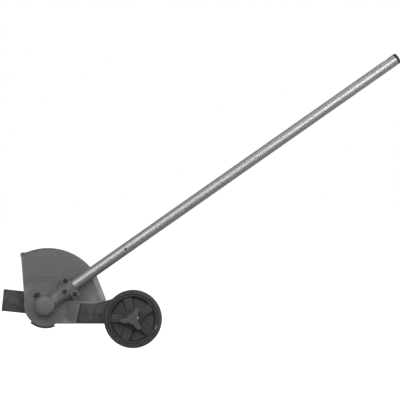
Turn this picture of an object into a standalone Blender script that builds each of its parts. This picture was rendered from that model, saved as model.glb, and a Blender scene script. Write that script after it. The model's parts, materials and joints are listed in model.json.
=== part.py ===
"""Lawn edger head on a straight drive tube, with a guarded blade, a bevel gear case and a depth wheel.

Every number is in millimetres; MM turns it into Blender's metres. Sizes are laid out from the blade's axis:
X runs towards the wheel and the top of the tube, Y away from the wheel's side, and Z is height above the
ground. FRAME_X and FRAME_Y then put the origin under the middle of the whole object. A name that ends in
_Y holds the front and back of a piece, and one that ends in _U its ends along the tube.
"""

import math

import bmesh
import bpy

MM = 0.001
GAP = 0.3  # between pieces that touch
OVERSHOOT = 10.0  # how far a cutter runs past the face it opens

# Whole object
FRAME_X = 357.15  # blade axis to the middle of the overall length
FRAME_Y = 13.0  # tube's plane to the middle of the overall width
AXIS_Z = 97.3  # height of the blade's axis
TUBE_ANGLE = math.radians(35.05)  # tube above the horizontal

# Tube, measured along its length from the blade's axis
TUBE_R = 12.7
TUBE_WALL = 1.6
TUBE_BORE_R = TUBE_R - TUBE_WALL
TUBE_U = (37.0, 985.7)
LOCK_HOLE_U = (960.0, 970.0)
LOCK_HOLE_WIDTH = 9.0
INDEX_HOLE_U = (947.0, 953.0)
INDEX_HOLE_WIDTH = 6.0
END_NOTCH_DEPTH = 7.0
END_NOTCH_WIDTH = 5.0
HOLE_DEPTH = 3.0  # of the cutters for the tube's side holes
LOCATING_U = 56.7
LOCATING_HOLE_R = 3.5

# End bush
BUSH_TAIL = 16.0
BUSH_R = TUBE_BORE_R - GAP
BUSH_BORE_R = 6.3
BUSH_NOSE = [(0.0, 0.0), (0.0, 2.2), (0.5, 3.7), (1.6, 5.4), (3.2, 6.5)]  # inset and distance past the tube

# Drive shaft and its guides
SHAFT_R = 4.0
SHAFT_SQUARE = 5.6
SHAFT_U = (27.5, 990.0)
SQUARE_END_LENGTH = 16.0
GUIDE_LENGTH = 25.0
RIVET_U = 226.3
RIVET_R = 1.6
RIVET_TIP = -8.5
RIVET_DOME = [(0.0, 0.9), (1.6, 0.7), (2.6, 0.0)]  # radius and height over the tube
GUIDES = {"shaft_guide_lower": 130.0, "shaft_guide_middle": RIVET_U, "shaft_guide_upper": 600.0}

# Bevel gears
GEAR_MODULE = 1.75
PINION_TEETH = 12
GEAR_TEETH = 16
GEAR_FACE = 5.5
TOOTH_ADDENDUM = 0.85  # in modules
TOOTH_DEDENDUM = 1.2
TOOTH_BACKLASH = 0.36  # taken off each side of each tooth
PRESSURE_ANGLE = math.radians(20)
PINION_FRONT = [(0.0, 8.6), (5.2, 8.6)]
PINION_BACK = [(8.0, 16.4), (5.0, 16.8)]
PINION_SHANK_R = 5.0
PINION_CUP_R = 6.6
PINION_CUP_U = (25.2, 36.0)
GEAR_FRONT_R = 7.3
GEAR_BACK_R = 12.6
GEAR_ENDS = (6.9, 15.5)  # in front of the tube's axis

# Bearings: inner and outer radius of each ring, then where it lies
PINION_BEARING_U = (17.5, 24.5)
PINION_INNER_RING = (PINION_SHANK_R + GAP, 7.0)
PINION_OUTER_RING = (8.7, 11.0)
CIRCLIP_R = (8.4, 11.0)
CIRCLIP_U = (24.9, 26.1)
OUTPUT_R = 5.0
OUTPUT_FRONT_R = 4.0
OUTPUT_SHOULDER = -16.0
OUTPUT_Y = (-22.2, 58.0)
OUTPUT_EDGE = 1.0
FRONT_BEARING_Y = (-22.2, -16.6)
FRONT_INNER_RING = (OUTPUT_FRONT_R + GAP, 6.2)
FRONT_OUTER_RING = (7.6, 9.5)
REAR_BEARING_Y = (12.6, 18.6)
REAR_INNER_RING = (OUTPUT_R + GAP, 7.6)
REAR_OUTER_RING = (9.4, 12.0)
SEAL_R = 9.0
SEAL_LIP_R = 6.6
SEAL_Y = (19.2, 22.8)
SEAL_LIP_BACK = 20.6

# Screws
SCREW_EDGE = 0.5
SOCKET_DEPTH = 0.6  # of the head's height
REAR_SCREW_EDGE = 0.8
REAR_RECESS = (0.45, 0.5)  # of the head's radius and height

# Gear case, along Y
CASE_R = 23.0
CASE_FRONT = -16.0
CASE_FLARE = 3.0
FLANGE_R = 49.7
FLANGE_Y = (15.0, 23.0)
FLANGE_EDGE = 1.5
CAVITY_R = 17.8
CAVITY_BACK = 12.2
REAR_SEAT_R = REAR_OUTER_RING[1] + GAP
REAR_SEAT_BACK = REAR_BEARING_Y[1] + GAP
SEAL_SEAT_R = SEAL_R + GAP
NECK_R = 17.0
NECK_U = (5.0, 54.0)
PINION_ROOM_R = 12.1
PINION_ROOM_U = (8.0, 17.2)
PINION_SEAT_R = 11.3
PINION_SEAT_END = 34.0
NECK_BORE_R = 7.4

# Gear case cover: the dome's (radius, Y), and the seat of the front bearing
COVER_DOME = [(0.0, -27.6), (9.0, -27.4), (15.0, -26.6), (19.5, -24.8), (22.2, -21.6), (CASE_R, -18.5)]
COVER_SEAT_R = 9.8
COVER_SEAT_FRONT = -22.8

# Tube clamp
CLAMP_U = (50.0, 81.3)
CLAMP_R = 16.8
CLAMP_BOLT_U = 71.2
CLAMP_BOLT_N = 18.9  # sideways from the tube's axis
CLAMP_BOLT_R = 3.0
CLAMP_BOLT_HEAD_R = 4.9
CLAMP_BOLT_HEAD = 5.1
CLAMP_BOLT_FLATS = 5.0
CLAMP_BOLT_TIP = 16.0
CLAMP_EAR = 7.6  # half the width of a bolt's square boss
CLAMP_EAR_CORNER = 2.5
CLAMP_EAR_FRONT = -13.5
CLAMP_COUNTERBORE_R = 6.0
CLAMP_COUNTERBORE = 6.4
CLAMP_WEB_N = 21.0
CLAMP_WEB = 5.0  # half its length along the tube
CLAMP_WEB_FRONT = -9.0
CLAMP_SPLIT = 0.2
CLAMP_BACK = 19.0
CLAMP_REAR_START = 40.0
LOCATING_R = 3.2
LOCATING_HEAD_R = 5.0
LOCATING_HEAD_Y = (-19.0, -15.5)
LOCATING_TIP = -10.0
LOCATING_FLATS = 4.0
LOCATING_SEAT = -15.2

# Guard
GUARD_FRONT = 23.3
GUARD_BACK = 72.0
GUARD_WALL = 3.0
GUARD_FLOOR = GUARD_FRONT + GUARD_WALL
GUARD_CHAMFER = 8.0
GUARD_CENTRE = (2.1, 96.4)
GUARD_R = 131.4
GUARD_LEFT_X = -56.8
GUARD_RIGHT_ANGLE = math.radians(29.5)
GUARD_HOLLOW_ANGLE = math.radians(126)
GUARD_LEFT_EDGE = [(-49.8, 108.2), (-51.6, 137.3), (-56.2, 199.5)]
GUARD_CORNER = (137.9, 106.8)
GUARD_LOWER_EDGE = [(116.0, 100.3), (59.2, 100.3)]
GUARD_HUB_END = math.radians(166.4)
GUARD_HUB_HOLE_R = 14.0
GUARD_LIP = [(-59.2, 207.6), (-50.4, 207.6), (-50.4, 217.6), (-59.2, 217.6)]
RING_INNER_R = 67.0
RING_OUTER_R = 71.0
RING_HEIGHT = 0.8
RING_ANGLES = (8, 133)
GUARD_SCREW_R = 40.0
GUARD_SCREW_ANGLES = [60, 150, 210, 330]
GUARD_SCREW_HEAD_R = 4.2
GUARD_SCREW_HEAD = 3.0

# Screws into the gear case's flange
FLANGE_THREAD_R = 2.1
FLANGE_HOLE_R = 2.4
FLANGE_HOLE_FRONT = 16.8
FLANGE_SCREW_TIP = 17.2

# Wear shoe
SHOE_INNER_R = 50.1
SHOE_OUTER_R = 54.2
SHOE_ANGLES = (-131, -68)
SHOE_Y = (17.0, 37.0)
SHOE_WEB_INNER_R = 42.5
SHOE_WEB_SETBACK = 1.0  # from the ends and the outside of the shoe
SHOE_WEB_Y = (GUARD_FLOOR + GAP, 29.4)
SHOE_SCREW_R = 46.0
SHOE_SCREW_ANGLES = [-120, -80]
SHOE_SCREW_HEAD_R = 3.4
SHOE_SCREW_HEAD = 2.6

# Blade and what holds it, along Y
BLADE_LENGTH = 203.2
BLADE_WIDTH = 50.8
BLADE_Y = (38.8, 41.8)
BLADE_TILT = math.radians(6.0)
BLADE_PILOT_R = 10.0
FLANGE_HUB_R = 12.0
BLADE_DISC_R = 35.0
BLADE_DISC_EDGE = 1.0
BLADE_DISC_FRONT = 34.0
FLANGE_HUB_FRONT = 27.5
# Radius and distance from the blade
CUP_WASHER = [(18.0, 1.2), (21.0, 0.0), (25.0, 0.0), (25.0, 1.5), (20.0, 4.0)]
BLADE_NUT_FLATS = 17.0
BLADE_NUT_HEIGHT = 8.0

# Spindle lock button
LOCK_X = -20.5
LOCK_Z = 23.0
LOCK_PIN_R = 3.0
LOCK_HEAD_Y = (7.0, 10.4)
LOCK_HEAD_LENGTH = 15.0
LOCK_HEAD_WIDTH = 6.0
LOCK_HEAD_CORNER = 1.5
LOCK_TIP = 30.3
LOCK_TIP_EDGE = 1.0
LOCK_HOLE_R = 3.5
LOCK_RIBS = 5
LOCK_RIB_PITCH = 2.4
LOCK_RIB_GROOVE = (1.0, 0.8)  # width and depth
LOCK_POCKET_R = 5.2
LOCK_POCKET_Y = (10.0, 21.0)
LOCK_R = math.hypot(LOCK_X, LOCK_Z)
LOCK_ANGLE = math.degrees(math.atan2(LOCK_Z, LOCK_X))
SPRING_TURNS = 3.5
SPRING_STEPS = 10  # in each turn
SPRING_R = 4.1
SPRING_WIRE_R = 0.45
SPRING_END = 16.0

# Bracket between the gear case and the wheel arm
BRACKET_Y = (16.5, 33.5)
BRACKET_FACE = [(24.0, 54.0), (70.0, 54.0), (80.3, 99.9), (24.0, 99.9)]
BRACKET_TONGUE = [(40, 56), (130, 62), (135, 67), (135, 87), (130, 91), (84, 97), (81, 101), (81, 119)]
BRACKET_TONGUE += [(78, 122), (56, 122), (53, 119), (53, 99), (40, 89)]
BRACKET_PAD = [(53, 102.4), (81, 102.4), (81, 119), (78, 122), (56, 122), (53, 119)]
BRACKET_SCREWS = {"bracket_screw_near": (60.0, 112.0), "bracket_screw_far": (74.0, 112.0)}
BRACKET_SCREW_R = 2.0
BRACKET_SCREW_HEAD_R = 3.6
BRACKET_SCREW_HEAD = 2.5
BRACKET_SCREW_TIP = 24.3
BRACKET_PAD_BACK = 32.5
BRACKET_HUB_R = 50.1
BRACKET_GROOVES_X = [50.5, 54.0]
BRACKET_GROOVE_Z = (79.0, 98.0)
BRACKET_GROOVE = (1.6, 1.5)  # width and depth

# Wheel arm
ARM_Y = (24.6, 29.6)
ARM_START = 58.0
ARM_ROOM_START = ARM_START - 2 * GAP
ARM_OUTLINE = [(ARM_START, 54), (100, 53.7), (138, 53.7), (160, 49), (182, 46.5), (222, 47)]
ARM_OUTLINE += [(231, 56), (231, 112), (222, 121), (183, 120), (149, 110), (116, 99.9), (ARM_START, 99.9)]
ARM_CORNER = 2.5
ARM_BOLTS = {"arm_bolt_near": (96.2, 75.9), "arm_bolt_far": (122.9, 75.9)}
ARM_BOLT_R = 2.4
ARM_BOLT_HEAD_R = 4.4
ARM_BOLT_HEAD = 2.6
ARM_BOLT_FLATS = 3.0
ARM_BOLT_TIP = 37.2
ARM_NUT_FLATS = 8.0
ARM_NUT_HEIGHT = 3.0

# Wheel, along Y
WHEEL_X = 202.6
WHEEL_R = 66.5
DEPTH_TRAVEL = 38.0
AXLE_R = 5.0
AXLE_FRONT = -42.0
AXLE_HEAD_R = 9.0
AXLE_HEAD = 5.6
AXLE_HEAD_EDGE = 1.0
SLEEVE_R = 7.5
SLEEVE_FRONT = -29.7
SLEEVE_SHOULDER_R = 11.0
SLEEVE_SHOULDER = 14.4
WASHER_R = 13.0
HUB_WASHER_Y = (-29.4, -27.9)
CLAMP_WASHER_Y = (-31.6, -30.0)
HUB_BORE_R = 10.0
HUB_Y = (-26.0, 12.6)
HUB_R = 24.0
HUB_CORE_R = 14.0
HUB_BACK_R = 15.0
RIM_R = 56.0
RIM_INNER_R = 50.8
RIM_Y = (-22.0, 10.0)
RIM_LIP = 0.8
WHEEL_EDGE = 2.0
WHEEL_DRAFT = 1.5
WEB_Y = (-8.0, 0.0)
HUB_STEP = 12.0  # from the web to the hub's front
SPOKE_ANGLES = [105, 33, -39, -111, -183]
SPOKE_WIDTH = 22.0
SPOKE_DRAFT = 1.0
SPOKE_FRONT = -17.0
SPOKE_REACH = (20.0, 51.5)
TYRE_SECTION = [(0.3, -22.4), (4.0, -24.0), (7.8, -23.0), (10.5, -17.5)]  # distance from the rim, and Y
TYRE_SECTION += [(10.5, 5.5), (7.8, 11.0), (4.0, 12.0), (0.3, 10.4)]
BUSH_FLANGE_R = 12.5
BUSH_FLANGE = 1.2
FRONT_BUSH_END = -16.0
REAR_BUSH_START = 3.0

# Depth knob, along Y
KNOB_Y = (-46.0, -31.9)
KNOB_R = 29.0
KNOB_WAIST_R = 11.0
KNOB_LOBE_ANGLE = math.radians(67)
KNOB_LOBES = 3
KNOB_POINTS = 54
KNOB_LOBE_SHARPNESS = 3
KNOB_BOSS_R = 12.5
KNOB_BOSS_FRONT = -40.0
# Distance from the front, and inset
KNOB_LAYERS = [(0.0, 2.2), (0.7, 0.8), (2.0, 0.0), (10.1, 0.0), (11.1, 0.6)]
KNOB_DIMPLE = (2.4, 1.0)  # radius and depth
INSERT_R = 8.0
INSERT_FRONT = -43.7
INSERT_BORE_FRONT = -42.3

# Colours of the pieces' surfaces: (red, green, blue), roughness, metallic
FINISHES = {
    "bare_steel_tube": ((0.55, 0.55, 0.56), 0.28, 1.0),
    "bright_steel": ((0.50, 0.50, 0.51), 0.35, 1.0),
    "gear_steel": ((0.32, 0.32, 0.33), 0.40, 1.0),
    "black_steel": ((0.03, 0.03, 0.032), 0.45, 0.8),
    "cast_housing": ((0.115, 0.115, 0.115), 0.55, 0.1),
    "guard_paint": ((0.135, 0.135, 0.135), 0.50, 0.1),
    "bracket_paint": ((0.12, 0.12, 0.12), 0.50, 0.1),
    "blade_steel": ((0.06, 0.06, 0.062), 0.42, 0.7),
    "arm_paint": ((0.05, 0.05, 0.05), 0.45, 0.2),
    "black_plastic": ((0.015, 0.015, 0.015), 0.40, 0.0),
    "wheel_plastic": ((0.048, 0.048, 0.048), 0.50, 0.0),
    "tyre_rubber": ((0.045, 0.045, 0.044), 0.75, 0.0),
    "seal_rubber": ((0.02, 0.02, 0.02), 0.80, 0.0),
    "guide_plastic": ((0.35, 0.34, 0.31), 0.60, 0.0),
    "insert_brass": ((0.60, 0.42, 0.16), 0.35, 1.0),
}


# ---------- scene helpers ----------

def clear_scene():
    for found in list(bpy.data.objects):
        bpy.data.objects.remove(found, do_unlink=True)


def make_material(object_name, finish):
    colour, roughness, metallic = FINISHES[finish]
    material = bpy.data.materials.new(object_name + "_" + finish)
    material.use_nodes = True
    shader = material.node_tree.nodes["Principled BSDF"]
    shader.inputs["Base Color"].default_value = (*colour, 1.0)
    shader.inputs["Roughness"].default_value = roughness
    shader.inputs["Metallic"].default_value = metallic
    material.diffuse_color = (*colour, 1.0)
    return material


def make_frame(name, parent, place, turn_y=0.0):
    """An empty that carries pieces, placed in its parent in millimetres."""
    frame = bpy.data.objects.new(name, None)
    bpy.context.scene.collection.objects.link(frame)
    frame.parent = parent
    frame.location = [value * MM for value in place]
    frame.rotation_euler = (0, turn_y, 0)
    return frame


def add_object(name, data, frame, place=(0, 0, 0), turn_y=0.0):
    made = bpy.data.objects.new(name, data)
    bpy.context.scene.collection.objects.link(made)
    made.parent = frame
    made.location = [value * MM for value in place]
    made.rotation_euler = (0, turn_y, 0)
    return made


def add_piece(name, mesh, finish, frame, place=(0, 0, 0), turn_y=0.0):
    """A finished sub-part: one node, with its own material."""
    mesh.shade_smooth()
    mesh.set_sharp_from_angle(angle=math.radians(35))
    piece = add_object(name, mesh, frame, place, turn_y)
    mesh.materials.append(make_material(name, finish))
    return piece


def boolean(piece, mesh, operation, frame=None, place=(0, 0, 0), turn_y=0.0):
    """Cuts a shape from a piece, or joins one to it, through a hidden helper object."""
    name = f"{piece.name}_{operation.lower()}_{len(piece.modifiers)}"
    helper = add_object(name, mesh, frame or piece.parent, place, turn_y)
    helper.hide_render = True
    helper.display_type = "WIRE"
    modifier = piece.modifiers.new(name, "BOOLEAN")
    modifier.operation = operation
    modifier.solver = "EXACT"
    modifier.object = helper


def cut(piece, mesh, frame=None, place=(0, 0, 0), turn_y=0.0):
    boolean(piece, mesh, "DIFFERENCE", frame, place, turn_y)


def join(piece, mesh, frame=None, place=(0, 0, 0), turn_y=0.0):
    boolean(piece, mesh, "UNION", frame, place, turn_y)


# ---------- mesh helpers ----------

def rings_mesh(rings):
    """Skins a closed chain of point rings. A ring of one point closes the shape on its axis."""
    shape = bmesh.new()
    size = max(len(ring) for ring in rings)
    made = []
    for ring in rings:
        corners = [shape.verts.new([value * MM for value in point]) for point in ring]
        made.append(corners if len(corners) > 1 else corners * size)
    for index, ring in enumerate(made):
        following = made[(index + 1) % len(made)]
        for step in range(size):
            after = (step + 1) % size
            loop = dict.fromkeys([ring[step], ring[after], following[after], following[step]])
            if len(loop) > 2:
                shape.faces.new(list(loop))
    return finish_mesh(shape)


def finish_mesh(shape):
    bmesh.ops.recalc_face_normals(shape, faces=shape.faces)
    mesh = bpy.data.meshes.new("shape")
    shape.to_mesh(mesh)
    shape.free()
    return mesh


def on_axis(axis, radius, angle, height):
    """A point at a radius, angle and height about the local Y or Z axis."""
    along, across = radius * math.cos(angle), radius * math.sin(angle)
    return (along, height, across) if axis == "Y" else (along, across, height)


def turned(profile, axis="Y", segments=28):
    """A turned solid from (radius, height) corners, which close on themselves or on the axis."""
    rings = []
    for radius, height in profile:
        if radius == 0:
            rings.append([on_axis(axis, 0, 0, height)])
            continue
        angles = [math.tau * step / segments for step in range(segments)]
        rings.append([on_axis(axis, radius, angle, height) for angle in angles])
    return rings_mesh(rings)


def cylinder(radius, low, high, axis="Y", segments=28):
    return turned([(0, low), (radius, low), (radius, high), (0, high)], axis, segments)


def tube(inner, outer, low, high, axis="Y", segments=28):
    return turned([(inner, low), (outer, low), (outer, high), (inner, high)], axis, segments)


def plate(outline, front, back, back_outline=None):
    """A solid between an outline at front and one at back; outlines are (x, z) and depth is along Y."""
    far_outline = back_outline or outline
    shape = bmesh.new()
    near = [shape.verts.new((x * MM, front * MM, z * MM)) for x, z in outline]
    far = [shape.verts.new((x * MM, back * MM, z * MM)) for x, z in far_outline]
    shape.faces.new(near)
    shape.faces.new(far)
    for index in range(len(near)):
        after = (index + 1) % len(near)
        shape.faces.new([near[index], near[after], far[after], far[index]])
    return finish_mesh(shape)


def layered(layers):
    """A solid through outlines with equal point counts, given as (depth, outline) from front to back."""
    shape = bmesh.new()
    rows = [[shape.verts.new((x * MM, depth * MM, z * MM)) for x, z in outline] for depth, outline in layers]
    shape.faces.new(rows[0])
    shape.faces.new(rows[-1])
    for near, far in zip(rows, rows[1:]):
        for index in range(len(near)):
            after = (index + 1) % len(near)
            shape.faces.new([near[index], near[after], far[after], far[index]])
    return finish_mesh(shape)


def rectangle(middle, width, height):
    x, z = middle
    low_x, high_x, low_z, high_z = x - width / 2, x + width / 2, z - height / 2, z + height / 2
    return [(low_x, low_z), (high_x, low_z), (high_x, high_z), (low_x, high_z)]


def box(low, high):
    x0, y0, z0 = low
    x1, y1, z1 = high
    return plate([(x0, z0), (x1, z0), (x1, z1), (x0, z1)], y0, y1)


def arc(centre, radius, start, end, steps):
    """Points on a circle in the X-Z plane, ends included."""
    turns = [start + (end - start) * step / steps for step in range(steps + 1)]
    return [(centre[0] + radius * math.cos(turn), centre[1] + radius * math.sin(turn)) for turn in turns]


def sector(inner, outer, angles, front, back, steps=14):
    start, end = (math.radians(angle) for angle in angles)
    outline = arc((0, 0), inner, start, end, steps) + arc((0, 0), outer, end, start, steps)
    return plate(outline, front, back)


def hexagon(across_flats):
    return arc((0, 0), across_flats / math.sqrt(3), 0, math.radians(300), 5)


def slot_outline(x, low, high, radius):
    upper = arc((x, high), radius, 0, math.pi, 10)
    lower = arc((x, low), radius, math.pi, math.tau, 10)
    return upper + lower


def rounded(corners, radius, steps=4):
    """An outline with each corner replaced by an arc that touches both its sides."""
    outline = []
    for index, (x, z) in enumerate(corners):
        before, after = corners[index - 1], corners[(index + 1) % len(corners)]
        start = direction((x, z), before)
        end = direction((x, z), after)
        half = math.acos(max(-1, min(1, start[0] * end[0] + start[1] * end[1]))) / 2
        reach = radius / math.tan(half)
        middle = direction((0, 0), (start[0] + end[0], start[1] + end[1]))
        centre = (x + middle[0] * radius / math.sin(half), z + middle[1] * radius / math.sin(half))
        first = math.atan2(z + start[1] * reach - centre[1], x + start[0] * reach - centre[0])
        last = math.atan2(z + end[1] * reach - centre[1], x + end[0] * reach - centre[0])
        sweep = (last - first + math.pi) % math.tau - math.pi
        outline += arc(centre, radius, first, first + sweep, steps)
    return outline


def direction(start, end):
    length = math.hypot(end[0] - start[0], end[1] - start[1])
    return ((end[0] - start[0]) / length, (end[1] - start[1]) / length)


def beyond(point, way, distance):
    return (point[0] + way[0] * distance, point[1] + way[1] * distance)


def polar(radius, degrees):
    angle = math.radians(degrees)
    return radius * math.cos(angle), radius * math.sin(angle)


def socket_screw(name, frame, place, head_r, head, shank, flats):
    """A cap screw along Y: head = (front, back) and shank = (radius, tip)."""
    front, back = head
    shank_r, tip = shank
    profile = [(0, front), (head_r - SCREW_EDGE, front), (head_r, front + SCREW_EDGE), (head_r, back)]
    profile += [(shank_r, back), (shank_r, tip - SCREW_EDGE), (shank_r - SCREW_EDGE, tip), (0, tip)]
    screw = add_piece(name, turned(profile, segments=20), "black_steel", frame, place)
    socket_end = front + SOCKET_DEPTH * (back - front)
    cut(screw, plate(hexagon(flats), front - OVERSHOOT, socket_end), place=place)


def rear_screw(name, frame, place, head_r, head, shank):
    """A screw put in from behind: head = (front, back) and shank = (radius, tip), the tip in front."""
    front, back = head
    shank_r, tip = shank
    recess_r, recess_end = REAR_RECESS[0] * head_r, back - REAR_RECESS[1] * (back - front)
    profile = [(0, tip), (shank_r, tip), (shank_r, front), (head_r, front), (head_r, back - REAR_SCREW_EDGE)]
    profile += [(head_r - REAR_SCREW_EDGE, back), (recess_r, back), (recess_r, recess_end), (0, recess_end)]
    add_piece(name, turned(profile, segments=12), "black_steel", frame, place)


# ---------- gears ----------

def tooth_ring(teeth, cone_angle, cone_distance, outer_distance, centre, axis, side):
    """Corners of every tooth on one bevel gear at one distance from the cones' shared point."""
    pitch_r = outer_distance * math.sin(cone_angle)
    half_pitch = math.pi / teeth
    half_tooth = half_pitch / 2 - TOOTH_BACKLASH / pitch_r
    slope = math.tan(PRESSURE_ANGLE) * GEAR_MODULE / pitch_r
    tip = (cone_angle + math.atan(TOOTH_ADDENDUM * GEAR_MODULE / outer_distance),
           half_tooth - TOOTH_ADDENDUM * slope)
    root = (cone_angle - math.atan(TOOTH_DEDENDUM * GEAR_MODULE / outer_distance),
            half_tooth + TOOTH_DEDENDUM * slope)
    ring = []
    for tooth in range(teeth):
        middle = centre + 2 * half_pitch * tooth
        for (lean, half), sign in ((root, -1), (tip, -1), (tip, 1), (root, 1)):
            radius, height = cone_distance * math.sin(lean), side * cone_distance * math.cos(lean)
            ring.append(on_axis(axis, radius, middle + sign * half, height))
    return ring


def bevel_gear(teeth, mate_teeth, centre, axis, side, front_profile, back_profile):
    """A bevel gear about an axis. The profiles close it on the cones' side and on its back."""
    cone_angle = math.atan2(teeth, mate_teeth)
    outer_distance = GEAR_MODULE * math.hypot(teeth, mate_teeth) / 2
    inner = tooth_ring(teeth, cone_angle, outer_distance - GEAR_FACE, outer_distance, centre, axis, side)
    outer = tooth_ring(teeth, cone_angle, outer_distance, outer_distance, centre, axis, side)
    across = [point[2] if axis == "Y" else point[1] for point in outer]
    angles = [math.atan2(value, point[0]) for value, point in zip(across, outer)]

    def plain(profile):
        rings = []
        for radius, height in profile:
            spread = angles if radius else angles[:1]
            rings.append([on_axis(axis, radius, angle, side * height) for angle in spread])
        return rings

    return rings_mesh(plain(front_profile) + [inner, outer] + plain(back_profile))


# ---------- sub-parts ----------

def build_tube(axis_frame):
    piece = add_piece("shaft_tube", tube(TUBE_BORE_R, TUBE_R, *TUBE_U, "Z"), "bare_steel_tube", axis_frame)
    outside, inside = TUBE_R + OVERSHOOT, TUBE_R - HOLE_DEPTH
    cut(piece, cylinder(LOCATING_HOLE_R, -outside, -inside, segments=20), place=(0, 0, LOCATING_U))
    cut(piece, cylinder(RIVET_R + GAP, -outside, -inside, segments=16), place=(0, 0, RIVET_U))
    notch_u = (TUBE_U[1] - END_NOTCH_DEPTH, TUBE_U[1] + OVERSHOOT)
    openings = [(-1, LOCK_HOLE_U, LOCK_HOLE_WIDTH), (1, INDEX_HOLE_U, INDEX_HOLE_WIDTH)]
    openings.append((1, notch_u, END_NOTCH_WIDTH))
    for side, (low, high), width in openings:
        near, far = sorted((side * inside, side * outside))
        cut(piece, box((near, -width / 2, low), (far, width / 2, high)))

    tail, flange_start = TUBE_U[1] - BUSH_TAIL, TUBE_U[1] + GAP
    profile = [(BUSH_BORE_R, tail), (BUSH_R, tail), (BUSH_R, flange_start)]
    profile += [(TUBE_R - inset, flange_start + past) for inset, past in BUSH_NOSE]
    profile.append((BUSH_BORE_R, profile[-1][1]))
    add_piece("tube_end_bush", turned(profile, "Z"), "black_plastic", axis_frame)

    for name, middle in GUIDES.items():
        ends = (middle - GUIDE_LENGTH / 2, middle + GUIDE_LENGTH / 2)
        guide = tube(SHAFT_R + GAP, BUSH_R, *ends, "Z", segments=20)
        piece = add_piece(name, guide, "guide_plastic", axis_frame)
        if middle == RIVET_U:
            cut(piece, cylinder(RIVET_R + GAP, -TUBE_R, RIVET_TIP + GAP, segments=16), place=(0, 0, middle))
    head = -TUBE_R - GAP
    profile = [(radius, head - height) for radius, height in RIVET_DOME]
    profile += [(RIVET_R, head), (RIVET_R, RIVET_TIP), (0, RIVET_TIP)]
    add_piece("guide_rivet", turned(profile, segments=16), "black_steel", axis_frame, (0, 0, RIVET_U))


def build_drive_train(axis_frame):
    start, end = SHAFT_U
    half = SHAFT_SQUARE / 2
    square = box((-half, -half, start), (half, half, end))
    shaft = add_piece("drive_shaft", square, "bright_steel", axis_frame)
    join(shaft, cylinder(SHAFT_R, TUBE_U[0], end - SQUARE_END_LENGTH, "Z", 20))

    cup_start, cup_end = PINION_CUP_U
    back = PINION_BACK + [(PINION_SHANK_R, cup_start), (PINION_CUP_R, cup_start)]
    back += [(PINION_CUP_R, cup_end), (0, cup_end)]
    gap_faces_gear = -math.pi / 2 + math.pi / PINION_TEETH
    pinion = bevel_gear(PINION_TEETH, GEAR_TEETH, gap_faces_gear, "Z", 1, PINION_FRONT, back)
    pinion = add_piece("pinion_gear", pinion, "gear_steel", axis_frame)
    half = SHAFT_SQUARE / 2 + GAP
    cut(pinion, box((-half, -half, start - GAP), (half, half, cup_end + OVERSHOOT)))
    inner = tube(*PINION_INNER_RING, *PINION_BEARING_U, "Z", segments=20)
    add_piece("pinion_bearing_inner_ring", inner, "bright_steel", axis_frame)


def build_pinion_seat(axis_frame):
    outer = tube(*PINION_OUTER_RING, *PINION_BEARING_U, "Z", segments=20)
    add_piece("pinion_bearing_outer_ring", outer, "bright_steel", axis_frame)
    add_piece("pinion_circlip", tube(*CIRCLIP_R, *CIRCLIP_U, "Z", 20), "black_steel", axis_frame)


def flange_screw_places():
    """Where screws enter the gear case's flange, seen from the blade's axis."""
    places = [polar(GUARD_SCREW_R, angle) for angle in GUARD_SCREW_ANGLES]
    return places + [polar(SHOE_SCREW_R, angle) for angle in SHOE_SCREW_ANGLES]


def build_gear_case(hub, axis_frame):
    front, back = FLANGE_Y
    shell = [(0, CASE_FRONT), (CASE_R, CASE_FRONT), (CASE_R, front - CASE_FLARE)]
    shell.append((CASE_R + CASE_FLARE, front))
    shell += [(FLANGE_R - FLANGE_EDGE, front), (FLANGE_R, front + FLANGE_EDGE), (FLANGE_R, back), (0, back)]
    case = add_piece("gear_case", turned(shell, segments=48), "cast_housing", hub)
    join(case, cylinder(NECK_R, *NECK_U, "Z"), axis_frame)
    join(case, clamp_half(CLAMP_SPLIT, CLAMP_BACK, CLAMP_REAR_START), axis_frame)
    clamp_start, clamp_end = CLAMP_U
    reach = 2 * CLAMP_BOLT_N
    cut(case, box((-reach, -reach, clamp_start), (reach, CLAMP_SPLIT, clamp_end + OVERSHOOT)), axis_frame)
    cut(case, cylinder(CASE_R + GAP, CASE_FRONT - OVERSHOOT, CASE_FRONT - GAP / 4))
    cut(case, cylinder(CAVITY_R, CASE_FRONT - OVERSHOOT, CAVITY_BACK))
    cut(case, cylinder(REAR_SEAT_R, 0, REAR_SEAT_BACK))
    cut(case, cylinder(SEAL_SEAT_R, 0, back + OVERSHOOT))
    cut(case, cylinder(PINION_ROOM_R, *PINION_ROOM_U, "Z"), axis_frame)
    cut(case, cylinder(PINION_SEAT_R, PINION_ROOM_U[0], PINION_SEAT_END, "Z"), axis_frame)
    cut(case, cylinder(NECK_BORE_R, PINION_ROOM_U[0], clamp_start, "Z"), axis_frame)
    cut(case, cylinder(TUBE_R + GAP, TUBE_U[0] - GAP, clamp_end + OVERSHOOT, "Z"), axis_frame)
    for side in (-1, 1):
        bolt_hole = cylinder(CLAMP_BOLT_R + GAP, -OVERSHOOT, CLAMP_BOLT_TIP + GAP, segments=20)
        cut(case, bolt_hole, axis_frame, (side * CLAMP_BOLT_N, 0, CLAMP_BOLT_U))
    for x, z in flange_screw_places():
        cut(case, cylinder(FLANGE_HOLE_R, FLANGE_HOLE_FRONT, back + OVERSHOOT, segments=12), place=(x, 0, z))
    lock_place = (LOCK_X, 0, LOCK_Z)
    cut(case, cylinder(LOCK_PIN_R + GAP, 0, back + OVERSHOOT, segments=20), place=lock_place)
    cut(case, cylinder(LOCK_POCKET_R, *LOCK_POCKET_Y, segments=20), place=lock_place)

    seam = CASE_FRONT - GAP
    cover = COVER_DOME + [(CASE_R, seam), (COVER_SEAT_R, seam), (COVER_SEAT_R, COVER_SEAT_FRONT)]
    cover.append((0, COVER_SEAT_FRONT))
    add_piece("gear_case_cover", turned(cover, segments=36), "cast_housing", hub)


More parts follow.
